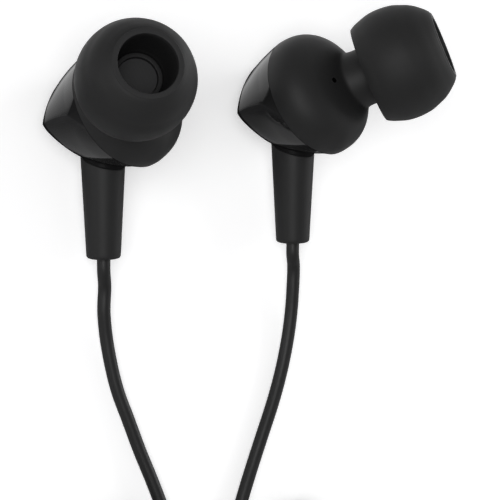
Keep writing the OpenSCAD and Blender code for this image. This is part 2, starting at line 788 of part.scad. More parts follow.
// A flat band round the bundle of loops, its long side along the coil's radius
module tie(centre, angle, r_out, pitch, steps, layers, d) {
    r_in = r_out - pitch * steps / 24;
    x0 = r_in - d / 2 - tie_clearance - 0.2;
    w = r_out - r_in + d + 2 * tie_clearance + 0.4;
    h = d + pitch * (layers - 1) + 2 * tie_clearance;
    color([0.09, 0.09, 0.095])
        translate([centre[0], centre[1], 0])
            rotate([0, 0, angle])
                translate([x0 - tie_t, tie_w / 2, 0])
                    rotate([90, 0, 0])
                        linear_extrude(height = tie_w)
                            difference() {
                                slot_2d(w + 2 * tie_t, h + 2 * tie_t, 0.9);
                                translate([tie_t, tie_t])
                                    slot_2d(w, h, 0.35);
                            }
}

// ---------- splitter pieces ----------
module lying(p) {
    translate(p)
        rotate([90, 0, 0])
            children();
}

module splitter_body() {
    color(black_matte)
        lying(splitter_top)
            difference() {
                rotate_extrude()
                    polygon([
                        [0, 0], [splitter_r - 0.4, 0], [splitter_r - 0.1, 0.15], [splitter_r, 0.6],
                        [splitter_r, splitter_l - 2.4], [splitter_r - 0.5, splitter_l - 0.3],
                        [splitter_r - 0.8, splitter_l], [0, splitter_l]
                    ]);
                for (a = [0, 180])
                    rotate([0, 0, a])
                        translate([-1, splitter_r - 0.15, 3])
                            cube([2, 1, splitter_l - 7]);
            }
}

module splitter_collar() {
    color(black_rubber)
        lying(splitter_top - [0, splitter_l, 0])
            difference() {
                cylinder(h = splitter_collar_l, r1 = splitter_r - 0.9, r2 = main_d / 2 + 0.3);
                for (z = [0.9, 1.9])
                    translate([0, 0, z])
                        difference() {
                            cylinder(h = 0.4, r = 4);
                            translate([0, 0, -1])
                                cylinder(h = 3, r = main_d / 2 + 0.15);
                        }
            }
}

module right_coil_tie() {
    tie(right_coil_c, branch_tie_angle, branch_coil_r, branch_pitch, branch_steps, 2, branch_d);
}

module left_coil_tie() {
    tie(left_coil_c, 180 - branch_tie_angle, branch_coil_r, branch_pitch, branch_steps, 2, branch_d);
}

module main_coil_tie() {
    tie(main_coil_c, main_tie_angle, main_coil_r, main_pitch, main_steps, 4, main_d);
}

// ---------- plug ----------
plug_root = relief_end - [0, relief_l, 0];
jack_root = plug_root - [0, grip_l, 0];

module plug_relief() {
    color(black_rubber)
        lying(relief_end)
            difference() {
                cylinder(h = relief_l, r1 = main_d / 2 + 0.3, r2 = grip_r - 0.9);
                for (i = [0 : 3])
                    translate([0, 0, 1.2 + 1.3 * i])
                        difference() {
                            cylinder(h = 0.5, r = 6);
                            translate([0, 0, -1])
                                cylinder(h = 3, r = main_d / 2 + 0.15);
                        }
            }
}

module plug_grip() {
    color(black_matte)
        lying(plug_root)
            rotate_extrude()
                polygon([
                    [0, 0], [grip_r - 0.7, 0], [grip_r - 0.25, 0.25], [grip_r - 0.05, 0.8],
                    [grip_r, 1.6], [grip_r, grip_l - 2.2], [grip_r - 0.15, grip_l - 0.5],
                    [grip_r - 0.5, grip_l], [0, grip_l]
                ]);
}

// Contacts: sleeve, insulator, ring, insulator, pointed tip
sleeve_l = jack_l * 0.5;
ring_l = 2.2;
tip_start = sleeve_l + ring_l + 2 * insulator_w;

module plug_sleeve() {
    color(silver)
        lying(jack_root)
            difference() {
                cylinder(h = sleeve_l, r = jack_r);
                cylinder(h = jack_l, r = jack_r * 0.55);
            }
}

module plug_ring() {
    color(silver)
        lying(jack_root - [0, sleeve_l + insulator_w, 0])
            difference() {
                cylinder(h = ring_l, r = jack_r);
                translate([0, 0, -1])
                    cylinder(h = jack_l, r = jack_r * 0.55);
            }
}

module plug_tip() {
    head = jack_l - tip_start;
    color(silver)
        lying(jack_root - [0, tip_start, 0])
            rotate_extrude()
                polygon([
                    [0, 0], [jack_r, 0], [jack_r, head - 2.7], [jack_r - 0.45, head - 2.1],
                    [jack_r - 0.05, head - 1.5], [jack_r - 0.15, head - 1.1], [0.6, head - 0.1],
                    [0.35, head], [0, head]
                ]);
}

module plug_insulators() {
    color(black_gloss)
        lying(jack_root) {
            translate([0, 0, 0.01])
                cylinder(h = tip_start - 0.02, r = jack_r * 0.55 - 0.02);
            translate([0, 0, sleeve_l + 0.01])
                cylinder(h = insulator_w - 0.02, r = jack_r);
            translate([0, 0, sleeve_l + insulator_w + ring_l + 0.01])
                cylinder(h = insulator_w - 0.02, r = jack_r);
        }
}

right_place() rear_cover();  // right_rear_cover
right_place() front_housing();  // right_front_housing
right_place() nozzle_mesh();  // right_nozzle_mesh
right_place() driver_gasket();  // right_driver_gasket
right_place() driver_frame();  // right_driver_frame
right_place() diaphragm();  // right_diaphragm
right_place() voice_coil();  // right_voice_coil
right_place() top_plate();  // right_top_plate
right_place() magnet();  // right_magnet
right_place() yoke();  // right_yoke
right_place() terminal_board();  // right_terminal_board
right_place() boot();  // right_boot
right_place() cord_anchor();  // right_cord_anchor
right_place() ear_tip();  // right_ear_tip
left_place() rear_cover();  // left_rear_cover
left_place() front_housing();  // left_front_housing
left_place() nozzle_mesh();  // left_nozzle_mesh
left_place() driver_gasket();  // left_driver_gasket
left_place() driver_frame();  // left_driver_frame
left_place() diaphragm();  // left_diaphragm
left_place() voice_coil();  // left_voice_coil
left_place() top_plate();  // left_top_plate
left_place() magnet();  // left_magnet
left_place() yoke();  // left_yoke
left_place() terminal_board();  // left_terminal_board
left_place() boot();  // left_boot
left_place() cord_anchor();  // left_cord_anchor
left_place() ear_tip();  // left_ear_tip
right_branch_cord();
left_branch_cord();
right_branch_coil();
left_branch_coil();
right_coil_tie();
left_coil_tie();
splitter_body();
splitter_collar();
main_cord();
main_coil();
main_coil_tie();
plug_relief();
plug_grip();
plug_sleeve();
plug_ring();
plug_tip();
plug_insulators();
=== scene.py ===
import math

import bpy
import numpy as np
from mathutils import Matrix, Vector


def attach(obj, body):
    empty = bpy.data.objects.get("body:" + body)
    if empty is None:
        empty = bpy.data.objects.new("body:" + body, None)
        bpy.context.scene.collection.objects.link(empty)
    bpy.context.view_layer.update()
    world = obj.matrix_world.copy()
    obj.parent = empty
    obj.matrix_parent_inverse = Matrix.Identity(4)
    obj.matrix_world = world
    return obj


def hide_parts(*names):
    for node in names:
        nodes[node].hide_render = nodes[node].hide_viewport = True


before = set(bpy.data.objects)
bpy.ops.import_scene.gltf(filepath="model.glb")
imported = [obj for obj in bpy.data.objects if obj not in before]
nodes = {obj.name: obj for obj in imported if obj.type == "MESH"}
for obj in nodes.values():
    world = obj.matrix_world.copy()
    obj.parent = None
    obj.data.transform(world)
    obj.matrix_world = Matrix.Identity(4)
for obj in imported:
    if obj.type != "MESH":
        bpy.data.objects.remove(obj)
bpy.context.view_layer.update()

mainBody = "earphones"
tipBodies = {"right": "right_tip", "left": "left_tip"}
sides = ("right", "left")
mm = 0.001
scene = bpy.context.scene


# ---- camera ----
cameraSetup = {
    "place": (-0.13981, -0.01235, 0.26415),  # metres
    "lean": -28.7764,  # degrees about Y, towards the left
    "lens": 201.6, "sensor": 36,  # mm
    "clip": (0.01, 20),  # metres
}


def addObject(name, data):
    made = bpy.data.objects.new(name, data)
    scene.collection.objects.link(made)
    return made


camera = addObject("camera", bpy.data.cameras.new("camera"))
camera.location = cameraSetup["place"]
camera.rotation_euler = (0, math.radians(cameraSetup["lean"]), 0)
camera.data.lens, camera.data.sensor_width = cameraSetup["lens"], cameraSetup["sensor"]
camera.data.clip_start, camera.data.clip_end = cameraSetup["clip"]
scene.camera = camera
scene.view_settings.view_transform = "Standard"
print("stage: camera")


# ---- shapes ----
def turn(axis, degrees):
    # Rotation matrix about one axis, by the right-hand rule
    c, s = math.cos(math.radians(degrees)), math.sin(math.radians(degrees))
    i, j = {"x": (1, 2), "y": (2, 0), "z": (0, 1)}[axis]
    m = np.eye(3)
    m[i, i] = m[j, j] = c
    m[i, j], m[j, i] = -s, s
    return m


layout = {  # how the earpieces lie, in degrees and mm
    "turn": (-18.8, 21.5, 6.8),
    "right": (-13.75, 2.25, 7.45),
    "left": (8.75, 3.95, 7.45),
}
lieTurn = turn("z", layout["turn"][2]) @ turn("y", layout["turn"][1]) @ turn("x", layout["turn"][0])


def laid(side, points):
    # Earpiece axes to the table's axes, in mm; the right earpiece is the mirror image
    flip = (-1, 1, 1) if side == "right" else (1, 1, 1)
    return (np.asarray(points, float) * flip) @ lieTurn.T + layout[side]


def ringFaces(rows, around, closed):
    # Quads between neighbouring rings; with closed, the last ring joins the first
    index = np.arange(rows * around).reshape(rows, around)
    a = index if closed else index[:-1]
    d = np.roll(index, -1, axis=0) if closed else index[1:]
    quads = np.stack([a, np.roll(a, -1, axis=1), np.roll(d, -1, axis=1), d], -1)
    return quads.reshape(-1, 4).tolist()


def capFaces(ring, middle):
    # A fan from one ring to a middle point
    return [[a, b, middle] for a, b in zip(ring, ring[1:] + ring[:1])]


def closedRings(rings, startMiddle=None, endMiddle=None):
    # Rings of points, shape (rows, around, 3), and the middles of the end caps; without middles the
    # last ring joins the first
    rings = np.asarray(rings, float)
    rows, around = rings.shape[:2]
    points, count = rings.reshape(-1, 3), rows * around
    faces = ringFaces(rows, around, startMiddle is None)
    if startMiddle is not None:
        points = np.vstack([points, [startMiddle, endMiddle]])
        faces += capFaces(list(range(around)), count)
        faces += capFaces(list(range(count - around, count))[::-1], count + 1)
    return points, faces


def outwards(points, faces):
    # Signed volume of the closed shell: where it is negative, every face is turned over
    total = 0.0
    for size in (3, 4):
        some = np.array([f for f in faces if len(f) == size])
        if len(some):
            for k in range(1, size - 1):
                a, b, c = points[some[:, 0]], points[some[:, k]], points[some[:, k + 1]]
                total += float((a * np.cross(b, c)).sum())
    return faces if total > 0 else [f[::-1] for f in faces]


def makePiece(name, points, faces, smoothAngle=30):
    # Points in mm in the table's axes; edges sharper than smoothAngle stay crisp
    mesh = bpy.data.meshes.new(name)
    mesh.from_pydata((np.asarray(points) * mm).tolist(), [], outwards(np.asarray(points), faces))
    mesh.validate()
    mesh.shade_smooth()
    mesh.set_sharp_from_angle(angle=math.radians(smoothAngle))
    return addObject(name, mesh)


def softCorners(points, radius, steps=4):
    # Each inner corner of a line gives way to a short curve that starts and ends at most radius away
    p = np.asarray(points, float)
    radii = np.broadcast_to(radius, len(p))
    out = []
    for i, corner in enumerate(p):
        if i in (0, len(p) - 1) or radii[i] == 0:
            out.append(corner)
            continue
        before, after = p[i - 1] - corner, p[i + 1] - corner
        reach = [min(radii[i], 0.45 * np.linalg.norm(v)) for v in (before, after)]
        a = corner + before / np.linalg.norm(before) * reach[0]
        b = corner + after / np.linalg.norm(after) * reach[1]
        t = np.linspace(0, 1, steps + 1)[:, None]
        out.extend((1 - t) ** 2 * a + 2 * t * (1 - t) * corner + t ** 2 * b)
    return np.array(out)


def smoothLine(points, per):
    # Cubic curve through the points, with so many samples to each stretch. The direction at a point
    # is the mean of its two stretches' directions, each weighted by the other's length.
    p = np.asarray(points, float)
    way = np.diff(p, axis=0)
    h = np.linalg.norm(way, axis=1)[:, None]
    way = way / h
    m = np.vstack([way[:1], (way[:-1] * h[1:] + way[1:] * h[:-1]) / (h[:-1] + h[1:]), way[-1:]])
    t = np.linspace(0, 1, per, endpoint=False)[:, None, None]
    curve = ((2 * t ** 3 - 3 * t ** 2 + 1) * p[:-1] + (t ** 3 - 2 * t ** 2 + t) * h * m[:-1]
             + (3 * t ** 2 - 2 * t ** 3) * p[1:] + (t ** 3 - t ** 2) * h * m[1:])
    return np.vstack([curve.transpose(1, 0, 2).reshape(-1, p.shape[1]), p[-1:]])


def revolved(profile, around):
    # A profile point (r, s) goes round its axis as (r cos a, r sin a, s)
    a = np.linspace(0, 2 * np.pi, around, endpoint=False)
    r, s = np.asarray(profile, float).T
    return np.stack([np.outer(r, np.cos(a)), np.outer(r, np.sin(a)),
                     np.repeat(s[:, None], around, 1)], -1)


def tube(path, radius, around):
    # A circle carried along the path: at each point it stands square to the path's direction
    p = np.asarray(path, float)
    step = np.gradient(p, axis=0)
    step /= np.linalg.norm(step, axis=1)[:, None]
    across = np.cross((0, 0, 1), step)
    across /= np.linalg.norm(across, axis=1)[:, None]
    up = np.cross(step, across)
    w = np.linspace(0, 2 * np.pi, around, endpoint=False)
    rings = (p[:, None] + radius * (np.cos(w)[None, :, None] * across[:, None]
                                    + np.sin(w)[None, :, None] * up[:, None]))
    return closedRings(rings, p[0], p[-1])


# ---- axes within an earpiece ----
stemSizes = {  # mm and degrees
    "lean": 26.4, "back": 3.0, "end": 14.5, "top": 4.35, "slant": 18.6,
    "topRadius": 2.3, "endRadius": 1.8, "gap": 0.03, "endRound": 0.35, "collarStart": 1.0,
    "collarRound": 0.05, "bootRound": 0.06,
    "hole": [(0.84, 0), (0.76, 0.06), (0.74, 0.5)],  # radius and depth, from the end inwards
}
nozzleSizes = {
    "angle": 30.4, "back": 1.9, "neckRadius": 3.05, "neckEnd": 8.1, "end": 12.2,
    "tubeRadius": 2.3, "tubeFoot": 0.4, "beadRadius": 2.54, "beadLength": 0.7, "beadRise": 0.3,
    "floorDepth": 0.3, "floorMiddle": 0.3, "rounds": [0, 0.1, 0.12, 0.09, 0.06, 0.03, 0],
    "meshRadius": 2.08, "meshDepth": 0.3, "meshThick": 0.2, "meshCrown": 0.06, "meshGap": (0.05, 0.04),
}


def fromNozzle(points):
    return np.asarray(points) @ turn("y", nozzleSizes["angle"]).T + (0, 0, -nozzleSizes["back"])


def fromStem(points):
    return np.asarray(points) @ turn("x", 90 + stemSizes["lean"]).T + (0, 0, -stemSizes["back"])


def axisPoint(side, move, along):
    return laid(side, move([[0, 0, along]]))[0]


def axisShell(side, move, rings, start, end):
    # Rings about the nozzle's or the stem's axis, closed at two places along it
    return closedRings(laid(side, move(rings)), axisPoint(side, move, start), axisPoint(side, move, end))


def earPiece(side, name, shell, smoothAngle, replaced=None, body=mainBody):
    piece = makePiece(side + name, *shell, smoothAngle)
    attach(piece, body)
    if replaced:
        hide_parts(side + replaced)
    return piece


# ---- cords ----
cordSizes = {  # mm
    "branch": 1.4, "main": 2.0, "perStretch": 4, "around": 16,
    "tieHeight": 0.55, "tieGap": 0.12,
    "branchCoil": {"out": 10.9, "pitch": 1.86, "steps": 54, "layers": 2},
    "mainCoil": {"out": 14.8, "pitch": 2.46, "steps": 62, "layers": 4},
    "rightCoilAt": (-13.2, -52), "leftCoilAt": (11, -52), "mainCoilAt": (-8.9, -93),
    "entryAngle": 14, "mainAngle": 35,
    "splitterTop": (-1.1, -59.5, 2.5), "splitterLength": 15.4, "branchSpacing": 1.7,
    "reliefEnd": (16, -85, 3.2),
}
freeStretch = {  # points along the table, mm
    "right": [
        (-13.1, -16, 2.1), (-13, -18.6, 1.7), (-12.6, -21, 1.3), (-12, -23.8, 1.1), (-11.1, -27, 1),
        (-9.8, -30.2, 1), (-8.5, -33.4, 1), (-7.1, -36.6, 1.1), (-5.8, -39.8, 1.2), (-4.5, -43, 1.3),
        (-3.4, -46.3, 1.35)],
    "left": [
        (9.4, -13.9, 2.2), (9.6, -16.5, 1.7), (9.6, -19.2, 1.3), (9.2, -22.4, 1.1), (8.5, -25.6, 1),
        (7.5, -28.8, 1), (6.3, -32, 1), (5.1, -35.2, 1), (3.9, -38.4, 1.1), (2.7, -42, 1.2),
        (1.4, -46, 1.35)],
}
leads = {  # from each coil to the splitter or the plug
    "right": [(-2.1, -52, 3.1), (-1.95, -54.4, 2.8), (-1.95, -56.6, 2.55)],
    "left": [(-0.1, -52, 3.1), (-0.25, -54.4, 2.8), (-0.25, -56.6, 2.55)],
    "main": [(-7.2, -78, 9.05), (-3.2, -77, 8.9), (1, -75.7, 8.1), (5, -74.9, 6.8), (9, -75, 5.5),
             (12.6, -76.5, 4.4), (14.9, -79, 3.6), (15.7, -81, 3.3)],
    "toMain": [(-0.9, -78.2, 2.1), (-0.3, -79.9, 1.8)],
}


def coilPath(centre, coil, startAngle, hand, diameter):
    # Loops in layers: each layer spirals in or out at a steady rate over so many steps of a turn,
    # and in the half turn where the spiral reverses the cord climbs one pitch
    perTurn, half = 24, 12
    steps, pitch, layers = coil["steps"], coil["pitch"], coil["layers"]
    inner = coil["out"] - pitch * steps / perTurn
    i = np.arange(layers * steps + (layers - 1) * half + 1)
    layer, k = np.divmod(i, steps + half)
    rate = (coil["out"] - inner) / steps
    past = np.where(k > steps, rate * np.minimum(k - steps, half - (k - steps)), 0)
    share = np.minimum(1, k / steps)
    r = np.where(layer % 2 == 0, coil["out"] - share * (coil["out"] - inner) - past,
                 inner + share * (coil["out"] - inner) + past)
    f = np.clip((k - steps) / half, 0, None)
    z = cordSizes["tieHeight"] + cordSizes["tieGap"] + diameter / 2 + pitch * (layer + f * f * (3 - 2 * f))
    a = np.radians(startAngle - hand * 360 / perTurn * i)
    return np.stack([centre[0] + r * np.cos(a), centre[1] + r * np.sin(a), z], -1)


def coilEntry(loops, hand, angle, d):
    # Two points that lead straight into a coil
    way = np.array([hand * math.sin(math.radians(angle)), -math.cos(math.radians(angle)), 0])
    entry = loops[0] - d * way
    return [entry - d * way, entry]


def branchPath(side):
    # Out of the boot, down to the table, along it, round the coil and on to the splitter
    hand = 1 if side == "right" else -1
    d, angle = cordSizes["branch"], cordSizes["entryAngle"]
    loops = coilPath(cordSizes[side + "CoilAt"], cordSizes["branchCoil"],
                     angle if hand > 0 else 180 - angle, hand, d)
    out = axisPoint(side, fromStem, stemSizes["end"])
    way = axisPoint(side, fromStem, stemSizes["end"] + d) - out
    joint = np.array(cordSizes["splitterTop"]) - (hand * cordSizes["branchSpacing"] / 2, 0, 0)
    return np.vstack([[out, out + way], freeStretch[side], coilEntry(loops, hand, angle, d),
                      loops, leads[side], [joint + (0, d, 0), joint]])


def mainPath():
    # Out of the splitter, round the coil and on to the plug's strain relief
    d, angle = cordSizes["main"], cordSizes["mainAngle"]
    top = np.array(cordSizes["splitterTop"]) - (0, cordSizes["splitterLength"], 0)
    loops = coilPath(cordSizes["mainCoilAt"], cordSizes["mainCoil"], angle, 1, d)
    end = np.array(cordSizes["reliefEnd"])
    return np.vstack([[top, top - (0, d, 0)], leads["toMain"], coilEntry(loops, 1, angle, d),
                      loops, leads["main"], [end + (0, d, 0), end]])


def makeCord(name, points, diameter, replaced):
    path = smoothLine(points, cordSizes["perStretch"])
    around = cordSizes["around"]
    cord = makePiece(name, *tube(path, diameter / 2, around), 60)
    alongAround(cord, path, around)
    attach(cord, mainBody)
    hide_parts(*replaced)
    return cord


def alongAround(cord, path, around):
    # UV of a tube: millimetres along it, and the share of the way round
    gone = np.concatenate([[0], np.cumsum(np.linalg.norm(np.diff(path, axis=0), axis=1))])
    along = np.concatenate([np.repeat(gone, around), [0, gone[-1]]])
    share = np.concatenate([np.tile(np.arange(around) / around, len(path)), [0, 0]])
    layer = cord.data.uv_layers.new(name="alongAround")
    corner = np.empty(len(cord.data.loops), np.int32)
    cord.data.loops.foreach_get("vertex_index", corner)
    v = share[corner]
    seam = v[:4 * (len(path) - 1) * around].reshape(-1, around, 4)[:, -1]
    seam[seam == 0] = 1  # the last face round closes at 1, not at 0
    layer.data.foreach_set("uv", np.stack([along[corner], v], -1).ravel())


cords = {side: makeCord(side + "BranchCord", branchPath(side), cordSizes["branch"],
                        (side + "_branch_cord", side + "_branch_coil")) for side in sides}
cords["main"] = makeCord("mainCord", mainPath(), cordSizes["main"], ("main_cord", "main_coil"))
print("stage: cords")


# ---- ear tips ----
tipSizes = {  # mm
    "radius": 6.1, "length": 8.5, "front": 4.24, "lipRadius": 3.63, "opening": 3.05,
    "skirt": 0.5, "rim": 0.34, "rimDrop": 0.1, "rimRound": 0.2,
    "bore": 2.57, "grip": 0.46, "gripEnd": 8.25, "gripFront": 0.1, "gripBack": 0.2,
    # How far points stand outside a radius and behind the lip's front; the funnel's, beyond the nozzle
    "lipEdge": [(0.03, 0.07), (0, 0.01)], "underSkirt": [(-0.05, 2.6), (0.3, 1.9)],
    "opens": [(0.03, 0), (-0.01, 0.7), (-0.03, 1.6), (-0.12, 2.8)], "funnel": (0.14, 0.38),
    "lipRounds": [0.02, 0.02, 0.09, 0.2, 0, 0], "innerRound": 0.15,
    "around": 160, "perStretch": 5, "insideTo": 52,  # samples of the outer line that the inside follows
    # The lip's colour is raised as a painted highlight and the bore's lowered as painted shade
    "lipHighlight": 1.4, "lipDepth": 0.04, "boreShade": 0.5, "boreDepth": 0.12, "boreShadeSlack": 0.01,
    # Outer line of the skirt, as shares of the radius and of the length, rear rim first
    "line": [(0.846, 0.000), (0.884, 0.045), (0.936, 0.140), (0.966, 0.205), (0.989, 0.280),
             (1.000, 0.385), (0.995, 0.470), (0.968, 0.590), (0.917, 0.690), (0.874, 0.765),
             (0.816, 0.835), (0.752, 0.893), (0.688, 0.945), (0.637, 0.978)],
}


def tipProfile():
    # The skirt's outer line, over the lip, down the bore, round the grip and back inside the skirt
    t = tipSizes
    end, gripOut = nozzleSizes["end"], t["bore"] + t["grip"]
    lip = end + t["front"]
    outer = smoothLine(np.array(t["line"]) * (t["radius"], t["length"]) + (0, lip - t["length"]),
                       t["perStretch"])
    way = np.gradient(outer, axis=0)
    way /= np.linalg.norm(way, axis=1)[:, None]
    inwards = np.stack([-way[:, 1], way[:, 0]], -1)
    share = np.clip(np.linspace(0, 5, len(outer)), 0, 1)[:, None]  # full thickness from a fifth of the line
    inner = outer + inwards * (t["rim"] + (t["skirt"] - t["rim"]) * share)
    inner = inner[:t["insideTo"]:2][::-1]

    def behindLip(radius, offsets):
        return [(radius + outside, lip - behind) for outside, behind in offsets]

    grip = [(t["bore"] + t["funnel"][0], end + t["funnel"][1]), (t["bore"], end + t["gripFront"]),
            (t["bore"], t["gripEnd"]), (gripOut, t["gripEnd"]), (gripOut, end + t["gripBack"])]
    line = [outer[-1], *behindLip(t["lipRadius"], t["lipEdge"]), *behindLip(t["opening"], t["opens"]),
            *grip, *behindLip(t["opening"] + t["grip"], t["underSkirt"])]
    inside = softCorners(line, [0, *t["lipRounds"], *[t["innerRound"]] * (len(grip) + 2)])[1:]
    rim = softCorners([inner[-1], (inner[-1] + outer[0]) / 2 - (0, t["rimDrop"]), outer[0]],
                      t["rimRound"])[1:-1]
    return np.vstack([outer, inside, inner, rim])


def tipPaintedLight(profile):
    # Tone of each band of faces: a painted highlight on the flat lip, painted shade down the bore
    t = tipSizes
    middle = (profile + np.roll(profile, -1, axis=0)) / 2
    depth = nozzleSizes["end"] + t["front"] - middle[:, 1]
    lip = (depth < t["lipDepth"]) & (middle[:, 0] < t["lipRadius"])
    bore = (depth > t["boreDepth"]) & (middle[:, 0] < t["opening"] + t["boreShadeSlack"])
    return np.repeat(np.where(lip, t["lipHighlight"], np.where(bore, t["boreShade"], 1)), t["around"])


def markFaces(piece, name, values):
    layer = piece.data.attributes.new(name, "FLOAT", "FACE")
    layer.data.foreach_set("value", np.asarray(values, np.float32))


def makeTip(side):
    profile = tipProfile()
    rings = revolved(profile, tipSizes["around"])
    shell = closedRings(laid(side, fromNozzle(rings)))
    tip = earPiece(side, "EarTip", shell, 50, "_ear_tip", tipBodies[side])
    # The tone attribute carries the lip's painted highlight and the bore's painted shade
    markFaces(tip, "tone", tipPaintedLight(profile))
    return tip


tips = {side: makeTip(side) for side in sides}
print("stage: ear tips")


# ---- shell ----
shellSizes = {  # mm and degrees
    "radius": 6.63, "domeHeight": 4.5, "domeFullness": 2.5,
    "chin": 0.2, "chinAngle": -95, "chinWidth": 10, "chinAt": 1.8, "chinReach": 1.7,
    "neckBlend": 26, "neckRound": 0.06, "lean": -0.21, "wallRange": (0.5, 12.0),  # where the wall is sought
    "housingBevel": (0.996, 0.02), "coverBevel": (0.997, 0.004),  # share of the radius, and step
    "coverDepth": 5.5, "crown": 0.5, "rearSide": 6.22, "sideLift": 0.84, "rearTop": 6.01, "pastStem": 0.3,
    "upperBow": 0.55, "lowerBow": 0.785, "upperCheek": 0.04, "lowerCheek": 0.15, "cheekAt": 0.11,
    "upperSwell": 0.17, "lowerSwell": 0.44, "swellPower": 0.8,
    "creaseRadius": 0.07, "creaseStart": 1.62, "creaseBow": 0.2, "creaseUpper": 13, "creaseLower": 15,
    "rearRound": 0.16, "plateDepth": 0.38, "plateGap": 0.04, "seam": 0.015,
    "ventAngle": 18, "ventRadius": 0.29, "ventFrom": 2.6, "ventTo": 7.0,
    "perEdge": 44, "perCorner": 10,  # columns of faces along an edge and round a corner
    "openRings": 16, "creaseRings": 30,  # rings up to the crease's start and from there on
}


def chin(angle, z):
    # How far the shell is drawn out beside the stem: a bell over the angle round it and over the depth
    s = shellSizes
    away = np.degrees(np.angle(np.exp(1j * (np.asarray(angle) - math.radians(s["chinAngle"])))))
    return s["chin"] * np.exp(-(away / s["chinWidth"]) ** 2 - ((z - s["chinAt"]) / s["chinReach"]) ** 2)


def domeReach(way):
    # Distance from the nozzle's root along each direction to the dome, where (r/a)^n + (z/h)^n = 1,
    # found by halving
    s = shellSizes
    low, high = (np.full(way.shape[:-1], reach) for reach in s["wallRange"])
    for _ in range(44):
        middle = (low + high) / 2
        p = way * middle[..., None] + (0, 0, -nozzleSizes["back"])
        z = np.maximum(p[..., 2], 0)
        x = p[..., 0] - s["lean"] * z / s["domeHeight"]
        a = s["radius"] + chin(np.arctan2(p[..., 1], x), z)
        over = ((np.hypot(x, p[..., 1]) / a) ** s["domeFullness"]
                + (z / s["domeHeight"]) ** s["domeFullness"]) > 1
        high, low = np.where(over, middle, high), np.where(over, low, middle)
    return (low + high) / 2


def housingRings(around=200, rows=130):
    # Seen from the nozzle's root, the wall is as far as the dome or the neck, blended by a power
    # mean, so that the neck grows out of the dome with a soft root
    s, n = shellSizes, nozzleSizes
    a = np.linspace(0, 2 * np.pi, around, endpoint=False)
    reach = s["radius"] + chin(a, 0)
    joint = np.stack([reach * np.cos(a), reach * np.sin(a), np.full(around, n["back"] + s["seam"])], -1)
    joint /= np.linalg.norm(joint, axis=1)[:, None]
    axis = np.array([math.sin(math.radians(n["angle"])), 0, math.cos(math.radians(n["angle"]))])
    widest = np.arccos(joint @ axis)
    aside = joint - (joint @ axis)[:, None] * axis
    aside /= np.linalg.norm(aside, axis=1)[:, None]
    first = math.atan2(n["neckRadius"], n["neckEnd"] - s["neckRound"])
    share = np.linspace(0, 1, rows)[:, None] ** 1.55  # rings lie closer on the neck
    angle = first + share * (widest - first)
    way = np.cos(angle)[..., None] * axis + np.sin(angle)[..., None] * aside
    wall = (domeReach(way) ** s["neckBlend"]
            + (n["neckRadius"] / np.sin(angle)) ** s["neckBlend"]) ** (1 / s["neckBlend"])
    wall[0] = n["neckRadius"] / math.sin(first)
    rings = way * wall[..., None] + (0, 0, -n["back"])
    rings[-1] = np.stack([reach * np.cos(a), reach * np.sin(a), np.full(around, s["seam"])], -1)
    narrow, step = s["housingBevel"]
    rim = rings[-1] * (narrow, narrow, 1)
    rings[-1, :, 2] += step
    edge = rings[0] - (axis * (n["neckEnd"] - s["neckRound"]) + (0, 0, -n["back"]))
    middle = axis * n["neckEnd"] + (0, 0, -n["back"])
    cap = [middle + edge * f for f in (0.6, 0.975)]
    return np.concatenate([cap, rings, [rim]]), middle


def fromVent(points):
    return np.asarray(points) @ turn("y", -shellSizes["ventAngle"]).T


def cutHole(piece, side):
    # The vent is a narrow hole through the front of the dome, on the side away from the nozzle
    s = shellSizes
    low, high = s["ventFrom"], s["ventTo"]
    cutter = makePiece("cutter", *axisShell(
        side, fromVent, revolved([(s["ventRadius"], low), (s["ventRadius"], high)], 28), low, high))
    change = piece.modifiers.new("vent", "BOOLEAN")
    change.operation, change.solver, change.object = "DIFFERENCE", "EXACT", cutter
    bpy.context.view_layer.update()
    done = bpy.data.meshes.new_from_object(piece.evaluated_get(bpy.context.evaluated_depsgraph_get()))
    piece.modifiers.clear()
    piece.data = done
    bpy.data.objects.remove(cutter)
    # Faces on the drill's wall, by their distance from its axis, take the second material: a
    # near-black painted shade for the inside of the hole
    centres = np.empty(len(done.polygons) * 3)
    done.polygons.foreach_get("center", centres)
    start, axis = laid(side, fromVent([(0, 0, 0), (0, 0, 1)])) * mm
    axis = (axis - start) / np.linalg.norm(axis - start)
    off = centres.reshape(-1, 3) - start
    along = off @ axis
    distance = np.linalg.norm(off - along[:, None] * axis, axis=1)
    wall = (distance < s["ventRadius"] * mm * 1.01) & (along > 0)
    done.polygons.foreach_set("material_index", wall.astype(np.int32))


def makeHousing(side):
    rings, neckMiddle = housingRings()
    housing = makePiece(side + "Housing", *closedRings(
        laid(side, rings), laid(side, neckMiddle), laid(side, (0, 0, shellSizes["seam"]))), 40)
    cutHole(housing, side)
    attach(housing, mainBody)
    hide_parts(side + "_front_housing")
    return housing


def makeNozzle(side):
    # Tube, bead and the ring round the mesh, turned about the nozzle's axis
    n = nozzleSizes
    foot, floor = n["neckEnd"] - n["tubeFoot"], n["end"] - n["meshDepth"] - n["floorDepth"]
    bead = n["end"] - n["beadLength"]
    profile = softCorners([
        (n["tubeRadius"], foot), (n["tubeRadius"], bead - n["beadRise"]), (n["beadRadius"], bead),
        (n["beadRadius"], n["end"]), (n["meshRadius"], n["end"]), (n["meshRadius"], floor),
        (n["floorMiddle"], floor)], n["rounds"])
    shell = axisShell(side, fromNozzle, revolved(profile, 120), foot, floor)
    return earPiece(side, "Nozzle", shell, 35)


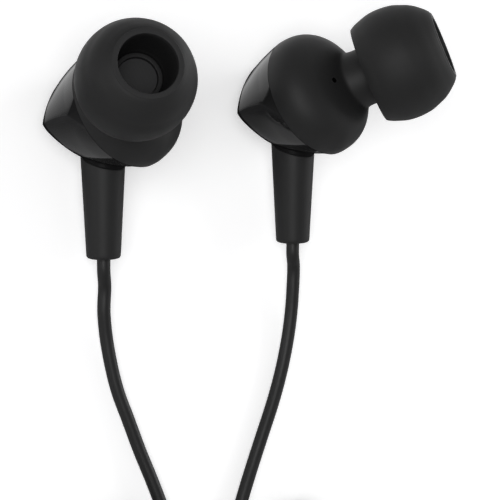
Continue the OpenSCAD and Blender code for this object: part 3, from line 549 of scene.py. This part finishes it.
def makeMesh(side):
    # A thin disc with a slight crown, z = h (1 - (r/R)^2), over a straight edge
    n = nozzleSizes
    radius = n["meshRadius"] - n["meshGap"][0]
    top = n["end"] - n["meshDepth"] - n["meshGap"][1]
    r = np.array([0.999, 0.97, 0.9, 0.75, 0.55, 0.35, 0.15])
    crown = np.stack([radius * r, top + n["meshCrown"] * (1 - r ** 2)], -1)
    low = top - n["meshThick"]
    rings = revolved(np.vstack([[(radius, low)], crown]), 96)
    shell = axisShell(side, fromNozzle, rings, low, top + n["meshCrown"])
    return earPiece(side, "NozzleScreen", shell, 35, "_nozzle_mesh")


def coverRings():
    # Each ring blends the round joint into the diamond at the rear by its share f of the depth:
    # (1 - f) circle + f diamond, and swells by 4 f (1 - f) between the creases. The diamond's edges
    # bow by 4 v (1 - v) from their side corner, and are fuller beside it by w e^(1 - w) (1 - v) with
    # w = v / cheekAt. Up to the creases' start each corner still spans an arc. From there the creases
    # of the side corners bow up by 4 g (1 - g), g the share of the crease, and the edges follow.
    s = shellSizes
    lean = math.radians(stemSizes["lean"])
    foot = ((stemSizes["top"] + s["pastStem"] - (s["coverDepth"] - stemSizes["back"]) * math.sin(lean))
            / math.cos(lean))  # the lowest corner
    corners = np.array([(s["rearSide"], s["sideLift"]), (0, s["rearTop"]),
                        (-s["rearSide"], s["sideLift"]), (0, -foot)])
    bows = np.repeat([s["upperBow"], s["lowerBow"]], 2)
    cheeks = np.repeat([s["upperCheek"], s["lowerCheek"]], 2)
    up, low = s["creaseUpper"], s["creaseLower"]
    before, after = (low, up, up, low), (up, up, low, low)  # degrees on either side of a corner
    k = np.linspace(-1, 1, s["perCorner"] + 1)
    u = np.linspace(0, 1, s["perEdge"] + 1)[1:-1]
    square, gapAngle, edgeShare, quarter, nearCrease = [], [], [], [], []
    for i in range(4):
        def corner(n, degrees):
            w = np.radians(90 * n + np.asarray(degrees, float))
            c = corners[n % 4]
            return (c * (1 - s["creaseRadius"] / np.linalg.norm(c))
                    + s["creaseRadius"] * np.stack([np.cos(w), np.sin(w)], -1))
        turns = np.where(k < 0, k * before[i], k * after[i])
        a, b = corner(i, after[i]), corner(i + 1, -before[(i + 1) % 4])
        d = (b - a) / np.linalg.norm(b - a)
        v = u if i % 2 == 0 else 1 - u  # share of the edge, from its side corner
        w = v / s["cheekAt"]
        bow = bows[i] * 4 * v * (1 - v) + cheeks[i] * w * np.exp(1 - w) * (1 - v)
        square += [corner(i, turns), a + (b - a) * u[:, None] + bow[:, None] * (d[1], -d[0])]
        gapAngle += [turns, after[i] + 0 * u]
        edgeShare += [0 * k, u]
        nearCrease += [0 * k + 1 - i % 2, (1 - v) ** 3]
        quarter += [90 * i + 0 * k, 90 * i + 0 * u]
    square = np.vstack(square)
    gapAngle, edgeShare, quarter, nearCrease = (
        np.concatenate(v) for v in (gapAngle, edgeShare, quarter, nearCrease))
    nextGap = np.array(before)[(quarter // 90 + 1).astype(int) % 4]
    swell = (np.sin(np.pi * edgeShare) ** s["swellPower"]
             * np.where(quarter < 180, s["upperSwell"], s["lowerSwell"]))
    start = s["creaseStart"] / s["coverDepth"]

    def ring(f):
        shut = max(0, 1 - f / start)
        a = np.radians(quarter + gapAngle * shut + edgeShare * (90 - (gapAngle + nextGap) * shut))
        reach = s["radius"] + chin(a, -f * s["coverDepth"])
        flat = (1 - f) * np.stack([reach * np.cos(a), reach * np.sin(a)], -1) + f * square
        size = np.linalg.norm(flat, axis=1)[:, None]
        flat = flat * (1 + 4 * f * (1 - f) * swell[:, None] / size)
        gone = max(0, (f - start) / (1 - start))  # share of the crease's length
        flat[:, 1] += s["creaseBow"] * 4 * gone * (1 - gone) * nearCrease
        return np.column_stack([flat, np.full(len(flat), -f * s["coverDepth"])])

    middle = np.array([0, s["sideLift"]])
    seam = 1 - s["plateDepth"] / s["coverDepth"]  # where the gloss ends and the rear plate begins
    last = 1 - s["rearRound"] / s["coverDepth"]
    kept = 1 - s["plateGap"] / s["radius"]
    inset = ring(seam) * (kept, kept, 1)
    narrow, step = s["coverBevel"]
    gloss = [ring(0) * (narrow, narrow, 1), ring(step)]
    gloss += [ring(f) for f in np.linspace(0.02, start, s["openRings"])]
    gloss += [ring(f) for f in np.linspace(start, seam - 0.005, s["creaseRings"])[1:]]
    gloss += [inset]
    plate = [inset, ring(seam + 0.006)]
    plate += [ring(f) for f in np.linspace(seam + 0.012, last, 4)]
    edge = ring(last)
    spread = edge[:, :2] - middle
    size = np.linalg.norm(spread, axis=1)[:, None]
    for t in np.radians([22, 45, 68, 90]):
        inner = spread * (1 - s["rearRound"] * (1 - math.cos(t)) / size)
        plate.append(np.column_stack([middle + inner, edge[:, 2] - s["rearRound"] * math.sin(t)]))
    rim = plate[-1][:, :2] - middle
    for f in (0.97, 0.9, 0.8, 0.65, 0.5, 0.35, 0.2, 0.08):
        depth = -s["coverDepth"] - s["crown"] * (1 - f ** 2)
        plate.append(np.column_stack([middle + rim * f, np.full(len(rim), depth)]))
    behind = (0, s["sideLift"], -seam * s["coverDepth"])
    return (np.array(gloss), (0, 0, 0), behind), (
        np.array(plate), behind, (0, s["sideLift"], -s["coverDepth"] - s["crown"]))


coverPolish = {
    # The corners' triangles carry a lighter colour painted in as reflection, graded from beside the stem to
    # away from it
    "triangle": 0.06, "trianglePaintedReflection": (2.2, 1.4),  # tone beside the stem and away from it
    # Beside a crease the polish fades and a lighter colour is painted in as reflection: how far as a
    # share of the edge, above and below, how much, and how much lighter
    "fadeReach": (0.05, 0.34), "fade": 0.6, "creasePaintedReflection": 1.8,
}


def polishFaces(cover, rows, around):
    # Polish and tone of each face: the corners' triangles are plain and lighter with a painted
    # reflection, the polish fades beside the creases, where a painted reflection lightens the
    # colour, and the joint's edge has none
    s, p = shellSizes, coverPolish
    polish, tone = np.ones((2, len(cover.data.polygons)))
    if cover.name.endswith("RearCover"):
        cells = (rows - 1) * around
        polishCells, paintedReflectionCells = (v[:cells].reshape(rows - 1, around) for v in (polish, tone))
        edge, step = np.divmod(np.arange(around), s["perCorner"] + s["perEdge"])
        corner = step < s["perCorner"]
        share = (step - s["perCorner"] + 0.5) / s["perEdge"]
        share = np.where(edge % 2 == 0, share, 1 - share)  # from the side corner
        near = np.where(corner, 0, np.clip(1 - share / np.take(p["fadeReach"], edge // 2), 0, 1) ** 2)
        polishCells[:] = 1 - p["fade"] * near
        paintedReflectionCells[:] = 1 + p["creasePaintedReflection"] * near
        grade = np.tile(np.linspace(*p["trianglePaintedReflection"], s["perCorner"]), 2)
        polishCells[:s["openRings"] + 1, corner] = p["triangle"]
        paintedReflectionCells[:s["openRings"] + 1, corner] = np.concatenate([grade, grade[::-1]])
    polish[:around] = 0
    markFaces(cover, "polish", polish)
    markFaces(cover, "tone", tone)


def makeCover(side):
    made = []
    for name, (rings, front, rear) in zip(("RearCover", "RearPlate"), coverRings()):
        shell = closedRings(laid(side, rings), laid(side, front), laid(side, rear))
        made.append(earPiece(side, name, shell, 24, "_rear_cover"))
        polishFaces(made[-1], *rings.shape[:2])
    return made


def slanted(radius, along, around):
    # A ring of the stem whose height follows the seam's slant
    a = np.linspace(0, 2 * np.pi, around, endpoint=False)
    y = radius * np.sin(a)
    return np.stack([radius * np.cos(a), y, along + y * math.tan(math.radians(stemSizes["slant"]))], -1)


def makeSocket(side):
    # The gloss collar that the boot stands in, cut off at the slanted seam
    t = stemSizes
    bevel = t["collarRound"]
    rings = [slanted(radius, along, 96) for radius, along in (
        (t["topRadius"], t["collarStart"]), (t["topRadius"], t["top"] - bevel),
        (t["topRadius"] - bevel, t["top"]))]
    shell = axisShell(side, fromStem, rings, t["collarStart"], t["top"])
    socket = earPiece(side, "Socket", shell, 40)
    markFaces(socket, "polish", np.ones(len(socket.data.polygons)))
    return socket


def makeBoot(side, around=112):
    # A cone with a slanted top and a rounded end, in lines of radius, height along the stem and
    # share of the slant: that share is 1 - v over the cone, so the slant is gone at the end
    t = stemSizes
    start, last = t["top"] + t["gap"], t["end"] - t["endRound"]
    lines = [(t["topRadius"] + (t["endRadius"] - t["topRadius"]) * v,
              start + t["bootRound"] + (last - start - t["bootRound"]) * v, 1 - v)
             for v in np.linspace(0, 1, 40)]
    lines += [(t["endRadius"] - t["endRound"] * (1 - math.cos(w)), last + t["endRound"] * math.sin(w), 0)
              for w in np.radians([20, 40, 60, 78, 90])]
    lines += [(radius, t["end"] - depth, 0) for radius, depth in t["hole"]]
    rows = [slanted(t["topRadius"] - t["bootRound"], start, around)]
    for radius, height, slant in lines:
        ring = slanted(radius, 0, around)
        ring[:, 2] = height + ring[:, 2] * slant
        rows.append(ring)
    shell = axisShell(side, fromStem, rows, start, lines[-1][1])
    return earPiece(side, "Boot", shell, 40, "_boot")


housings, nozzles, screens, bothCovers, sockets, boots = (
    {side: make(side) for side in sides}
    for make in (makeHousing, makeNozzle, makeMesh, makeCover, makeSocket, makeBoot))
covers, plates = ({side: made[k] for side, made in bothCovers.items()} for k in (0, 1))
print("stage: shells and boots")


# ---- materials ----
def feed(tree, node, inputs):
    # Each input, by name or number, takes a plain value or a link from another node's output
    for key, value in inputs.items():
        socket = node.inputs[key]
        if isinstance(value, bpy.types.NodeSocket):
            tree.links.new(value, socket)
        else:
            socket.default_value = (*value, 1) if socket.type == "RGBA" else value


def addNode(tree, kind, inputs={}, **settings):
    node = tree.nodes.new("ShaderNode" + kind)
    for key, value in settings.items():
        setattr(node, key, value)
    feed(tree, node, inputs)
    return node


def nodeGroup(name, inputs, outputs):
    # An input is a vector, or a number with a default; the outputs are numbers
    group = bpy.data.node_groups.new(name, "ShaderNodeTree")
    for label, value in inputs.items():
        kind = "NodeSocketVector" if value is None else "NodeSocketFloat"
        socket = group.interface.new_socket(label, in_out="INPUT", socket_type=kind)
        if value is not None:
            socket.default_value = value
    for label in outputs:
        group.interface.new_socket(label, in_out="OUTPUT", socket_type="NodeSocketFloat")
    return group, group.nodes.new("NodeGroupInput").outputs, group.nodes.new("NodeGroupOutput")


def mathNode(tree, operation, a, b):
    return addNode(tree, "Math", {0: a, 1: b}, operation=operation).outputs[0]


def buildGrain():
    # Moulded surface: a fine spark-eroded grain over a slow unevenness, both from noise
    group, given, put = nodeGroup("mouldGrain", {"Vector": None, "Scale": 9000.0, "Slow Scale": 500.0},
                                  ("Height", "Tone"))
    for scale, detail, result in (("Scale", 2, "Height"), ("Slow Scale", 3, "Tone")):
        noise = addNode(group, "TexNoise", {"Vector": given["Vector"], "Scale": given[scale],
                                            "Detail": detail})
        feed(group, put, {result: noise.outputs["Fac"]})
    return group


def buildDust():
    # Dust: small round specks where the distance to a cell's point is short and the cell is chosen
    group, given, put = nodeGroup(
        "dustSpecks", {"Vector": None, "Scale": 1500.0, "Size": 0.08, "Share": 0.12}, ("Mask",))
    cells = addNode(group, "TexVoronoi", {key: given[key] for key in ("Vector", "Scale")}).outputs
    near = mathNode(group, "LESS_THAN", cells["Distance"], given["Size"])
    split = addNode(group, "SeparateColor", {"Color": cells["Color"]})
    chosen = mathNode(group, "LESS_THAN", split.outputs["Red"], given["Share"])
    feed(group, put, {"Mask": mathNode(group, "MULTIPLY", near, chosen)})
    return group


groups = {"grain": buildGrain(), "dust": buildDust()}


def plainMaterial(name, look, metallic=0.0):
    material = bpy.data.materials.new(name)
    material.use_nodes = True
    tree = material.node_tree
    shader = tree.nodes["Principled BSDF"]
    feed(tree, shader, {"Base Color": look["color"], "Roughness": look["roughness"],
                        "Specular IOR Level": look["specular"], "Metallic": metallic})
    return material, tree, shader


def objectPlace(tree):
    return addNode(tree, "TexCoord").outputs["Object"]


def mapped(tree, vector, key, value):
    return addNode(tree, "Mapping", {"Vector": vector, key: value}).outputs[0]


def grainAt(tree, vector, look):
    return addNode(tree, "Group", {"Vector": vector, "Scale": look["grain"], "Slow Scale": look["slow"]},
                   node_tree=groups["grain"]).outputs


def span(tree, value, low, high, clampIn=(0.3, 0.7)):
    # Maps a value in clampIn to low..high
    return addNode(tree, "MapRange", {"Value": value, "From Min": clampIn[0], "From Max": clampIn[1],
                                      "To Min": low, "To Max": high}).outputs[0]


def tinted(tree, factor, dark, light):
    return addNode(tree, "Mix", {0: factor, 6: dark, 7: light}, data_type="RGBA").outputs[2]


def scaled(tree, color, factor):
    return addNode(tree, "VectorMath", {0: color, "Scale": factor}, operation="SCALE").outputs[0]


def unevenTone(tree, grain, look):
    color = np.array(look["color"])
    return tinted(tree, grain["Tone"], color * (1 - look["uneven"]), color * (1 + look["uneven"]))


def faceMark(tree, name):
    return addNode(tree, "Attribute", attribute_name=name).outputs["Fac"]


def bumped(tree, height, look):
    return addNode(tree, "Bump", {"Strength": look["bump"], "Distance": look["bumpDepth"],
                                  "Height": height}).outputs["Normal"]


def mouldedMaterial(name, look):
    # Plastic or rubber from a mould: fine grain, slow unevenness of tone and gloss, and dust
    look = {**mouldLook, **look}
    rough, spread = look["roughness"], look["roughSpread"]
    material, tree, shader = plainMaterial(name, look)
    place = objectPlace(tree)
    grain = grainAt(tree, place, look)
    tone = unevenTone(tree, grain, look)
    if look["paintedLight"]:
        # The tone attribute scales the colour: painted highlight and shade on the tips, painted reflection
        # on the covers
        tone = scaled(tree, tone, faceMark(tree, "tone"))
    dust = addNode(tree, "Group", {"Vector": place, "Scale": look["dustScale"], "Size": look["dustSize"],
                                   "Share": look["dustShare"]}, node_tree=groups["dust"])
    dusty = mathNode(tree, "MULTIPLY", dust.outputs["Mask"], look["dust"])
    feed(tree, shader, {"Base Color": tinted(tree, dusty, tone, look["dustColor"]),
                        "Roughness": span(tree, grain["Tone"], rough - spread, rough + spread),
                        "Normal": bumped(tree, grain["Height"], look)})
    if look["coat"]:
        # Polish: full up to a slant and gone at the very edge, where facing is 1 - cos(angle)
        facing = addNode(tree, "LayerWeight").outputs["Facing"]
        fall = span(tree, facing, look["coat"], 0.0, look["coatEdge"])
        feed(tree, shader, {"Coat Roughness": look["coatRoughness"], "Coat IOR": look["coatIndex"],
                            "Coat Weight": mathNode(tree, "MULTIPLY", fall, faceMark(tree, "polish"))})
    return material


mouldLook = {  # what each look below has where it says nothing else; bumpDepth in metres
    "roughness": 0.5, "specular": 0.0, "grain": 9000, "slow": 420, "uneven": 0.05, "roughSpread": 0.03,
    "bump": 0.08, "bumpDepth": 0.00002, "dustScale": 900, "dustSize": 0.03, "dustShare": 0.02, "dust": 0.1,
    # Where the face attribute scales the colour, that is painted light
    "dustColor": (0.32, 0.32, 0.33), "paintedLight": False,  # toned: the face attribute scales the colour
    "coat": 0.0, "coatRoughness": 0.3, "coatIndex": 1.6, "coatEdge": (0.78, 0.9),
}
glossLook = {
    "roughness": 0.4, "grain": 6000, "slow": 260, "uneven": 0.03, "roughSpread": 0.015, "bump": 0.01,
    "bumpDepth": 0.00001, "dustScale": 700, "dustSize": 0.025, "dust": 0.15,
}
innerLook = {"specular": 0.5, "dustSize": 0.02, "dustShare": 0.01}
looks = {
    "tip": {"color": (0.0135, 0.0135, 0.0138), "roughness": 0.6, "specular": 0.3, "bump": 0.12,
            "dust": 0.12, "paintedLight": True},
    "housing": {"color": (0.0145, 0.0145, 0.0148), "roughness": 0.54, "specular": 0.28, "grain": 12000,
                "slow": 500, "uneven": 0.04, "bump": 0.2},
    "cover": {**glossLook, "color": (0.0076, 0.0076, 0.0078), "coat": 1.0, "coatRoughness": 0.08,
              "paintedLight": True},
    "plate": {"color": (0.006, 0.006, 0.0062), "coat": 0.1},
    # The vent's wall is near-black: painted shade inside the hole
    "vent": {"color": (0.002, 0.002, 0.002), "roughness": 0.8, "dustShare": 0.0, "dust": 0.0},
    "socket": {**glossLook, "color": (0.0085, 0.0085, 0.0087), "coat": 0.06},
    "boot": {"color": (0.014, 0.014, 0.0143), "specular": 0.3, "grain": 11000, "slow": 600, "bump": 0.18},
    "tie": {"color": (0.02, 0.02, 0.021), "specular": 0.35, "grain": 8000, "slow": 500, "uneven": 0.08,
            "roughSpread": 0.04, "bump": 0.2, "dustShare": 0.03},
    "frame": {**innerLook, "color": (0.2, 0.2, 0.21), "roughness": 0.45, "grain": 8000, "slow": 500,
              "uneven": 0.06, "roughSpread": 0.04, "bump": 0.15},
    "board": {**innerLook, "color": (0.05, 0.16, 0.07), "roughness": 0.35, "grain": 7000, "slow": 700,
              "uneven": 0.1, "roughSpread": 0.05, "bump": 0.1},
    "film": {**innerLook, "color": (0.35, 0.32, 0.24), "roughness": 0.3, "grain": 5000, "slow": 900,
             "uneven": 0.08, "roughSpread": 0.05, "bump": 0.05, "bumpDepth": 0.00001},
}
cordLook = {
    "color": (0.014, 0.014, 0.0143), "roughness": 0.46, "roughRange": (0.4, 0.49), "specular": 0.3,
    "uneven": 0.1, "stretch": (0.12, 34, 1),  # cells of noise to a millimetre along it, and round it
    "grain": 10000, "slow": 240, "grainShare": 0.3, "bump": 0.25, "bumpDepth": 0.00002,
}
screenLook = {
    "color": (0.03, 0.03, 0.031), "threadColors": ((0.016, 0.016, 0.0165), (0.032, 0.032, 0.033)),
    "roughness": 0.5, "specular": 0.4,
    "lean": (0.35, 0.6), "spin": 0.3, "threads": 2600, "bump": 0.3, "bumpDepth": 0.00002,
}
metalLook = {
    "specular": 0.5, "stretch": (1, 9, 1), "grain": 3000, "slow": 700, "darker": 0.93, "spread": 0.06,
}
metals = {  # material's name, colour and roughness
    "contact": ("contact", (0.78, 0.77, 0.75), 0.16), "steel": ("driverSteel", (0.55, 0.55, 0.56), 0.3),
    "magnet": ("magnetNickel", (0.5, 0.49, 0.47), 0.35), "copper": ("coilCopper", (0.72, 0.35, 0.2), 0.3),
}


def cordMaterial(look):
    # Extruded jacket: fine lines along the cord, from noise that is stretched along its UV
    material, tree, shader = plainMaterial("cordJacket", look)
    uv = addNode(tree, "UVMap", uv_map="alongAround").outputs["UV"]
    lines = addNode(tree, "TexNoise", {"Vector": mapped(tree, uv, "Scale", look["stretch"]),
                                       "Scale": 1}).outputs["Fac"]
    grain = grainAt(tree, objectPlace(tree), look)
    fine = mathNode(tree, "MULTIPLY", grain["Height"], look["grainShare"])
    feed(tree, shader, {
        "Base Color": unevenTone(tree, grain, look),
        "Roughness": span(tree, lines, *look["roughRange"]),
        "Normal": bumped(tree, mathNode(tree, "ADD", lines, fine), look)})
    return material


def screenMaterial(look):
    # Woven screen: threads over and under, from two sets of waves that take turns
    material, tree, shader = plainMaterial("nozzleScreen", look)
    place = objectPlace(tree)
    weave = []
    for spin in (look["spin"], look["spin"] + math.pi / 2):
        turned = mapped(tree, place, "Rotation", (*look["lean"], spin))
        weave.append(addNode(tree, "TexWave", {"Vector": turned, "Scale": look["threads"]},
                             wave_type="BANDS", bands_direction="X").outputs["Fac"])
    both = mathNode(tree, "MAXIMUM", *weave)
    feed(tree, shader, {"Base Color": tinted(tree, both, *look["threadColors"]),
                        "Normal": bumped(tree, both, look)})
    return material


def metalMaterial(name, color, roughness):
    # Turned or plated metal: faint streaks of gloss
    look = {**metalLook, "color": color, "roughness": roughness}
    material, tree, shader = plainMaterial(name, look, 1.0)
    grain = grainAt(tree, mapped(tree, objectPlace(tree), "Scale", look["stretch"]), look)
    feed(tree, shader, {
        "Base Color": tinted(tree, grain["Tone"], np.array(color) * look["darker"], color),
        "Roughness": span(tree, grain["Height"], roughness - look["spread"], roughness + look["spread"])})
    return material


materials = {key: mouldedMaterial(key, look) for key, look in looks.items()}
materials["cord"] = cordMaterial(cordLook)
materials["screen"] = screenMaterial(screenLook)
materials.update({key: metalMaterial(*metal) for key, metal in metals.items()})


def wear(piece, key):
    if piece.data.materials:
        piece.data.materials[0] = materials[key]
    else:
        piece.data.materials.append(materials[key])


pieceLooks = [(tips, "tip"), (housings, "housing"), (nozzles, "housing"), (screens, "screen"),
              (covers, "cover"), (plates, "plate"), (sockets, "socket"), (boots, "boot"), (cords, "cord")]
for group, key in pieceLooks:
    for piece in group.values():
        wear(piece, key)
# Each housing's second material is the painted shade on the vent's wall
for housing in housings.values():
    housing.data.materials.append(materials["vent"])

nodeLooks = {  # by the end of the node's name; any other node looks like the housing
    "boot": ("driver_gasket", "cord_anchor", "splitter_collar", "plug_relief", "plug_grip",
             "plug_insulators"),
    "contact": ("plug_sleeve", "plug_ring", "plug_tip"), "steel": ("top_plate", "yoke"),
    "frame": ("driver_frame",), "film": ("diaphragm",), "copper": ("voice_coil",),
    "magnet": ("magnet",), "board": ("terminal_board",), "tie": ("coil_tie",),
}
for name, node in nodes.items():
    if not node.hide_render:
        node.data.materials.clear()
        node.data.materials.append(materials[next(
            (look for look, endings in nodeLooks.items() if name.endswith(endings)), "housing")])
print("stage: materials")


# ---- floor and light ----
stageSetup = {
    "floorColor": (0.86, 0.86, 0.865), "floorSize": 3.0, "shownGlow": 0.4,
    # What reflections see of the floor: a bright strip behind the earpieces on a greyer ground
    "groundColor": (0.56, 0.56, 0.565), "stripGlow": 0.45,
    "footShade": 0.5, "footFade": (-0.009, -0.004), "footEnd": (-0.003, 0.003),  # metres along Y
    "stripNear": (0.0, 0.007), "stripFar": (0.015, 0.045),  # metres along Y
    "leftShade": 0.45, "leftFade": (-0.042, -0.024),  # metres along X
    "overhead": 0.3, "overheadRise": (0.04, 0.35),  # strength of the world overhead, for reflections
    "ambient": (0.76, 0.04),  # its strength as ambient light, from the near side to the far side
    "lampFar": 0.8,  # metres
}


def mirrorRay(tree, rays):
    return mathNode(tree, "MAXIMUM", rays["Is Glossy Ray"], rays["Is Transmission Ray"])


def makeFloor():
    s = stageSetup
    size = s["floorSize"]
    mesh = bpy.data.meshes.new("floor")
    mesh.from_pydata([(-size, -size, 0), (size, -size, 0), (size, size, 0), (-size, size, 0)], [],
                     [(0, 1, 2, 3)])
    floor = addObject("floor", mesh)
    material = bpy.data.materials.new("floor")
    material.use_nodes = True
    tree = material.node_tree
    tree.nodes.clear()
    rays = addNode(tree, "LightPath").outputs
    split = addNode(tree, "SeparateXYZ", {0: objectPlace(tree)}).outputs
    mirrored = mirrorRay(tree, rays)
    strip = mathNode(tree, "MINIMUM", span(tree, split["Y"], 0.0, 1.0, s["stripNear"]),
                     span(tree, split["Y"], 1.0, 0.0, s["stripFar"]))
    side = span(tree, split["X"], s["leftShade"], 1.0, s["leftFade"])
    foot = span(tree, split["Y"], 1.0, s["footShade"], s["footFade"])
    past = span(tree, split["Y"], 0.0, 1.0, s["footEnd"])
    shade = mathNode(tree, "MULTIPLY", side, mathNode(tree, "MAXIMUM", foot, past))
    ground = scaled(tree, tinted(tree, strip, s["groundColor"], s["floorColor"]), shade)
    cover = addNode(tree, "BsdfDiffuse", {"Color": tinted(tree, mirrored, s["floorColor"], ground)})
    graded = mathNode(tree, "MULTIPLY", mathNode(tree, "MULTIPLY", strip, shade),
                      mathNode(tree, "MULTIPLY", mirrored, s["stripGlow"]))
    shown = mathNode(tree, "MULTIPLY", rays["Is Camera Ray"], s["shownGlow"])
    glow = addNode(tree, "Emission", {"Strength": mathNode(tree, "ADD", shown, graded)})
    both = addNode(tree, "AddShader", {0: cover.outputs[0], 1: glow.outputs[0]})
    addNode(tree, "OutputMaterial", {"Surface": both.outputs[0]})
    mesh.materials.append(material)


def makeWorld():
    # White where it is seen and near the horizon; greyer overhead, and dimmer as plain ambient light
    world = bpy.data.worlds.new("studio")
    scene.world = world
    world.use_nodes = True
    tree = world.node_tree
    tree.nodes.clear()
    rays = addNode(tree, "LightPath").outputs
    way = addNode(tree, "SeparateXYZ", {0: addNode(tree, "TexCoord").outputs["Generated"]}).outputs
    overhead = span(tree, way["Z"], 1.0, stageSetup["overhead"], stageSetup["overheadRise"])
    ambient = span(tree, way["Y"], *stageSetup["ambient"], (-1, 1))
    seen, mirrored, diffuse = (addNode(tree, "Background", {"Strength": strength}).outputs[0]
                               for strength in (1.0, overhead, ambient))
    unseen = addNode(tree, "MixShader", {0: mirrorRay(tree, rays), 1: diffuse, 2: mirrored}).outputs[0]
    both = addNode(tree, "MixShader", {0: rays["Is Camera Ray"], 1: unseen, 2: seen}).outputs[0]
    addNode(tree, "OutputWorld", {"Surface": both})


lamps = {  # direction from the object, size in metres, power in watts
    "key": {"way": (-0.5, 0.0, 0.85), "size": 0.5, "power": 3.05},
    "side": {"way": (1.0, 0.35, 0.4), "size": 0.5, "power": 2.6},
    "edge": {"way": (-1.0, 0.05, 0.12), "size": 0.3, "power": 0.7},
}


def makeLamp(name, setup):
    data = bpy.data.lights.new(name, "AREA")
    data.shape, data.size, data.energy = "DISK", setup["size"], setup["power"]
    lamp = addObject(name, data)
    way = Vector(setup["way"]).normalized()
    lamp.location = way * stageSetup["lampFar"]
    lamp.rotation_euler = way.to_track_quat("Z", "Y").to_euler()


makeFloor()
makeWorld()
for name, setup in lamps.items():
    makeLamp(name, setup)
print("stage: floor and light")

bpy.context.view_layer.update()
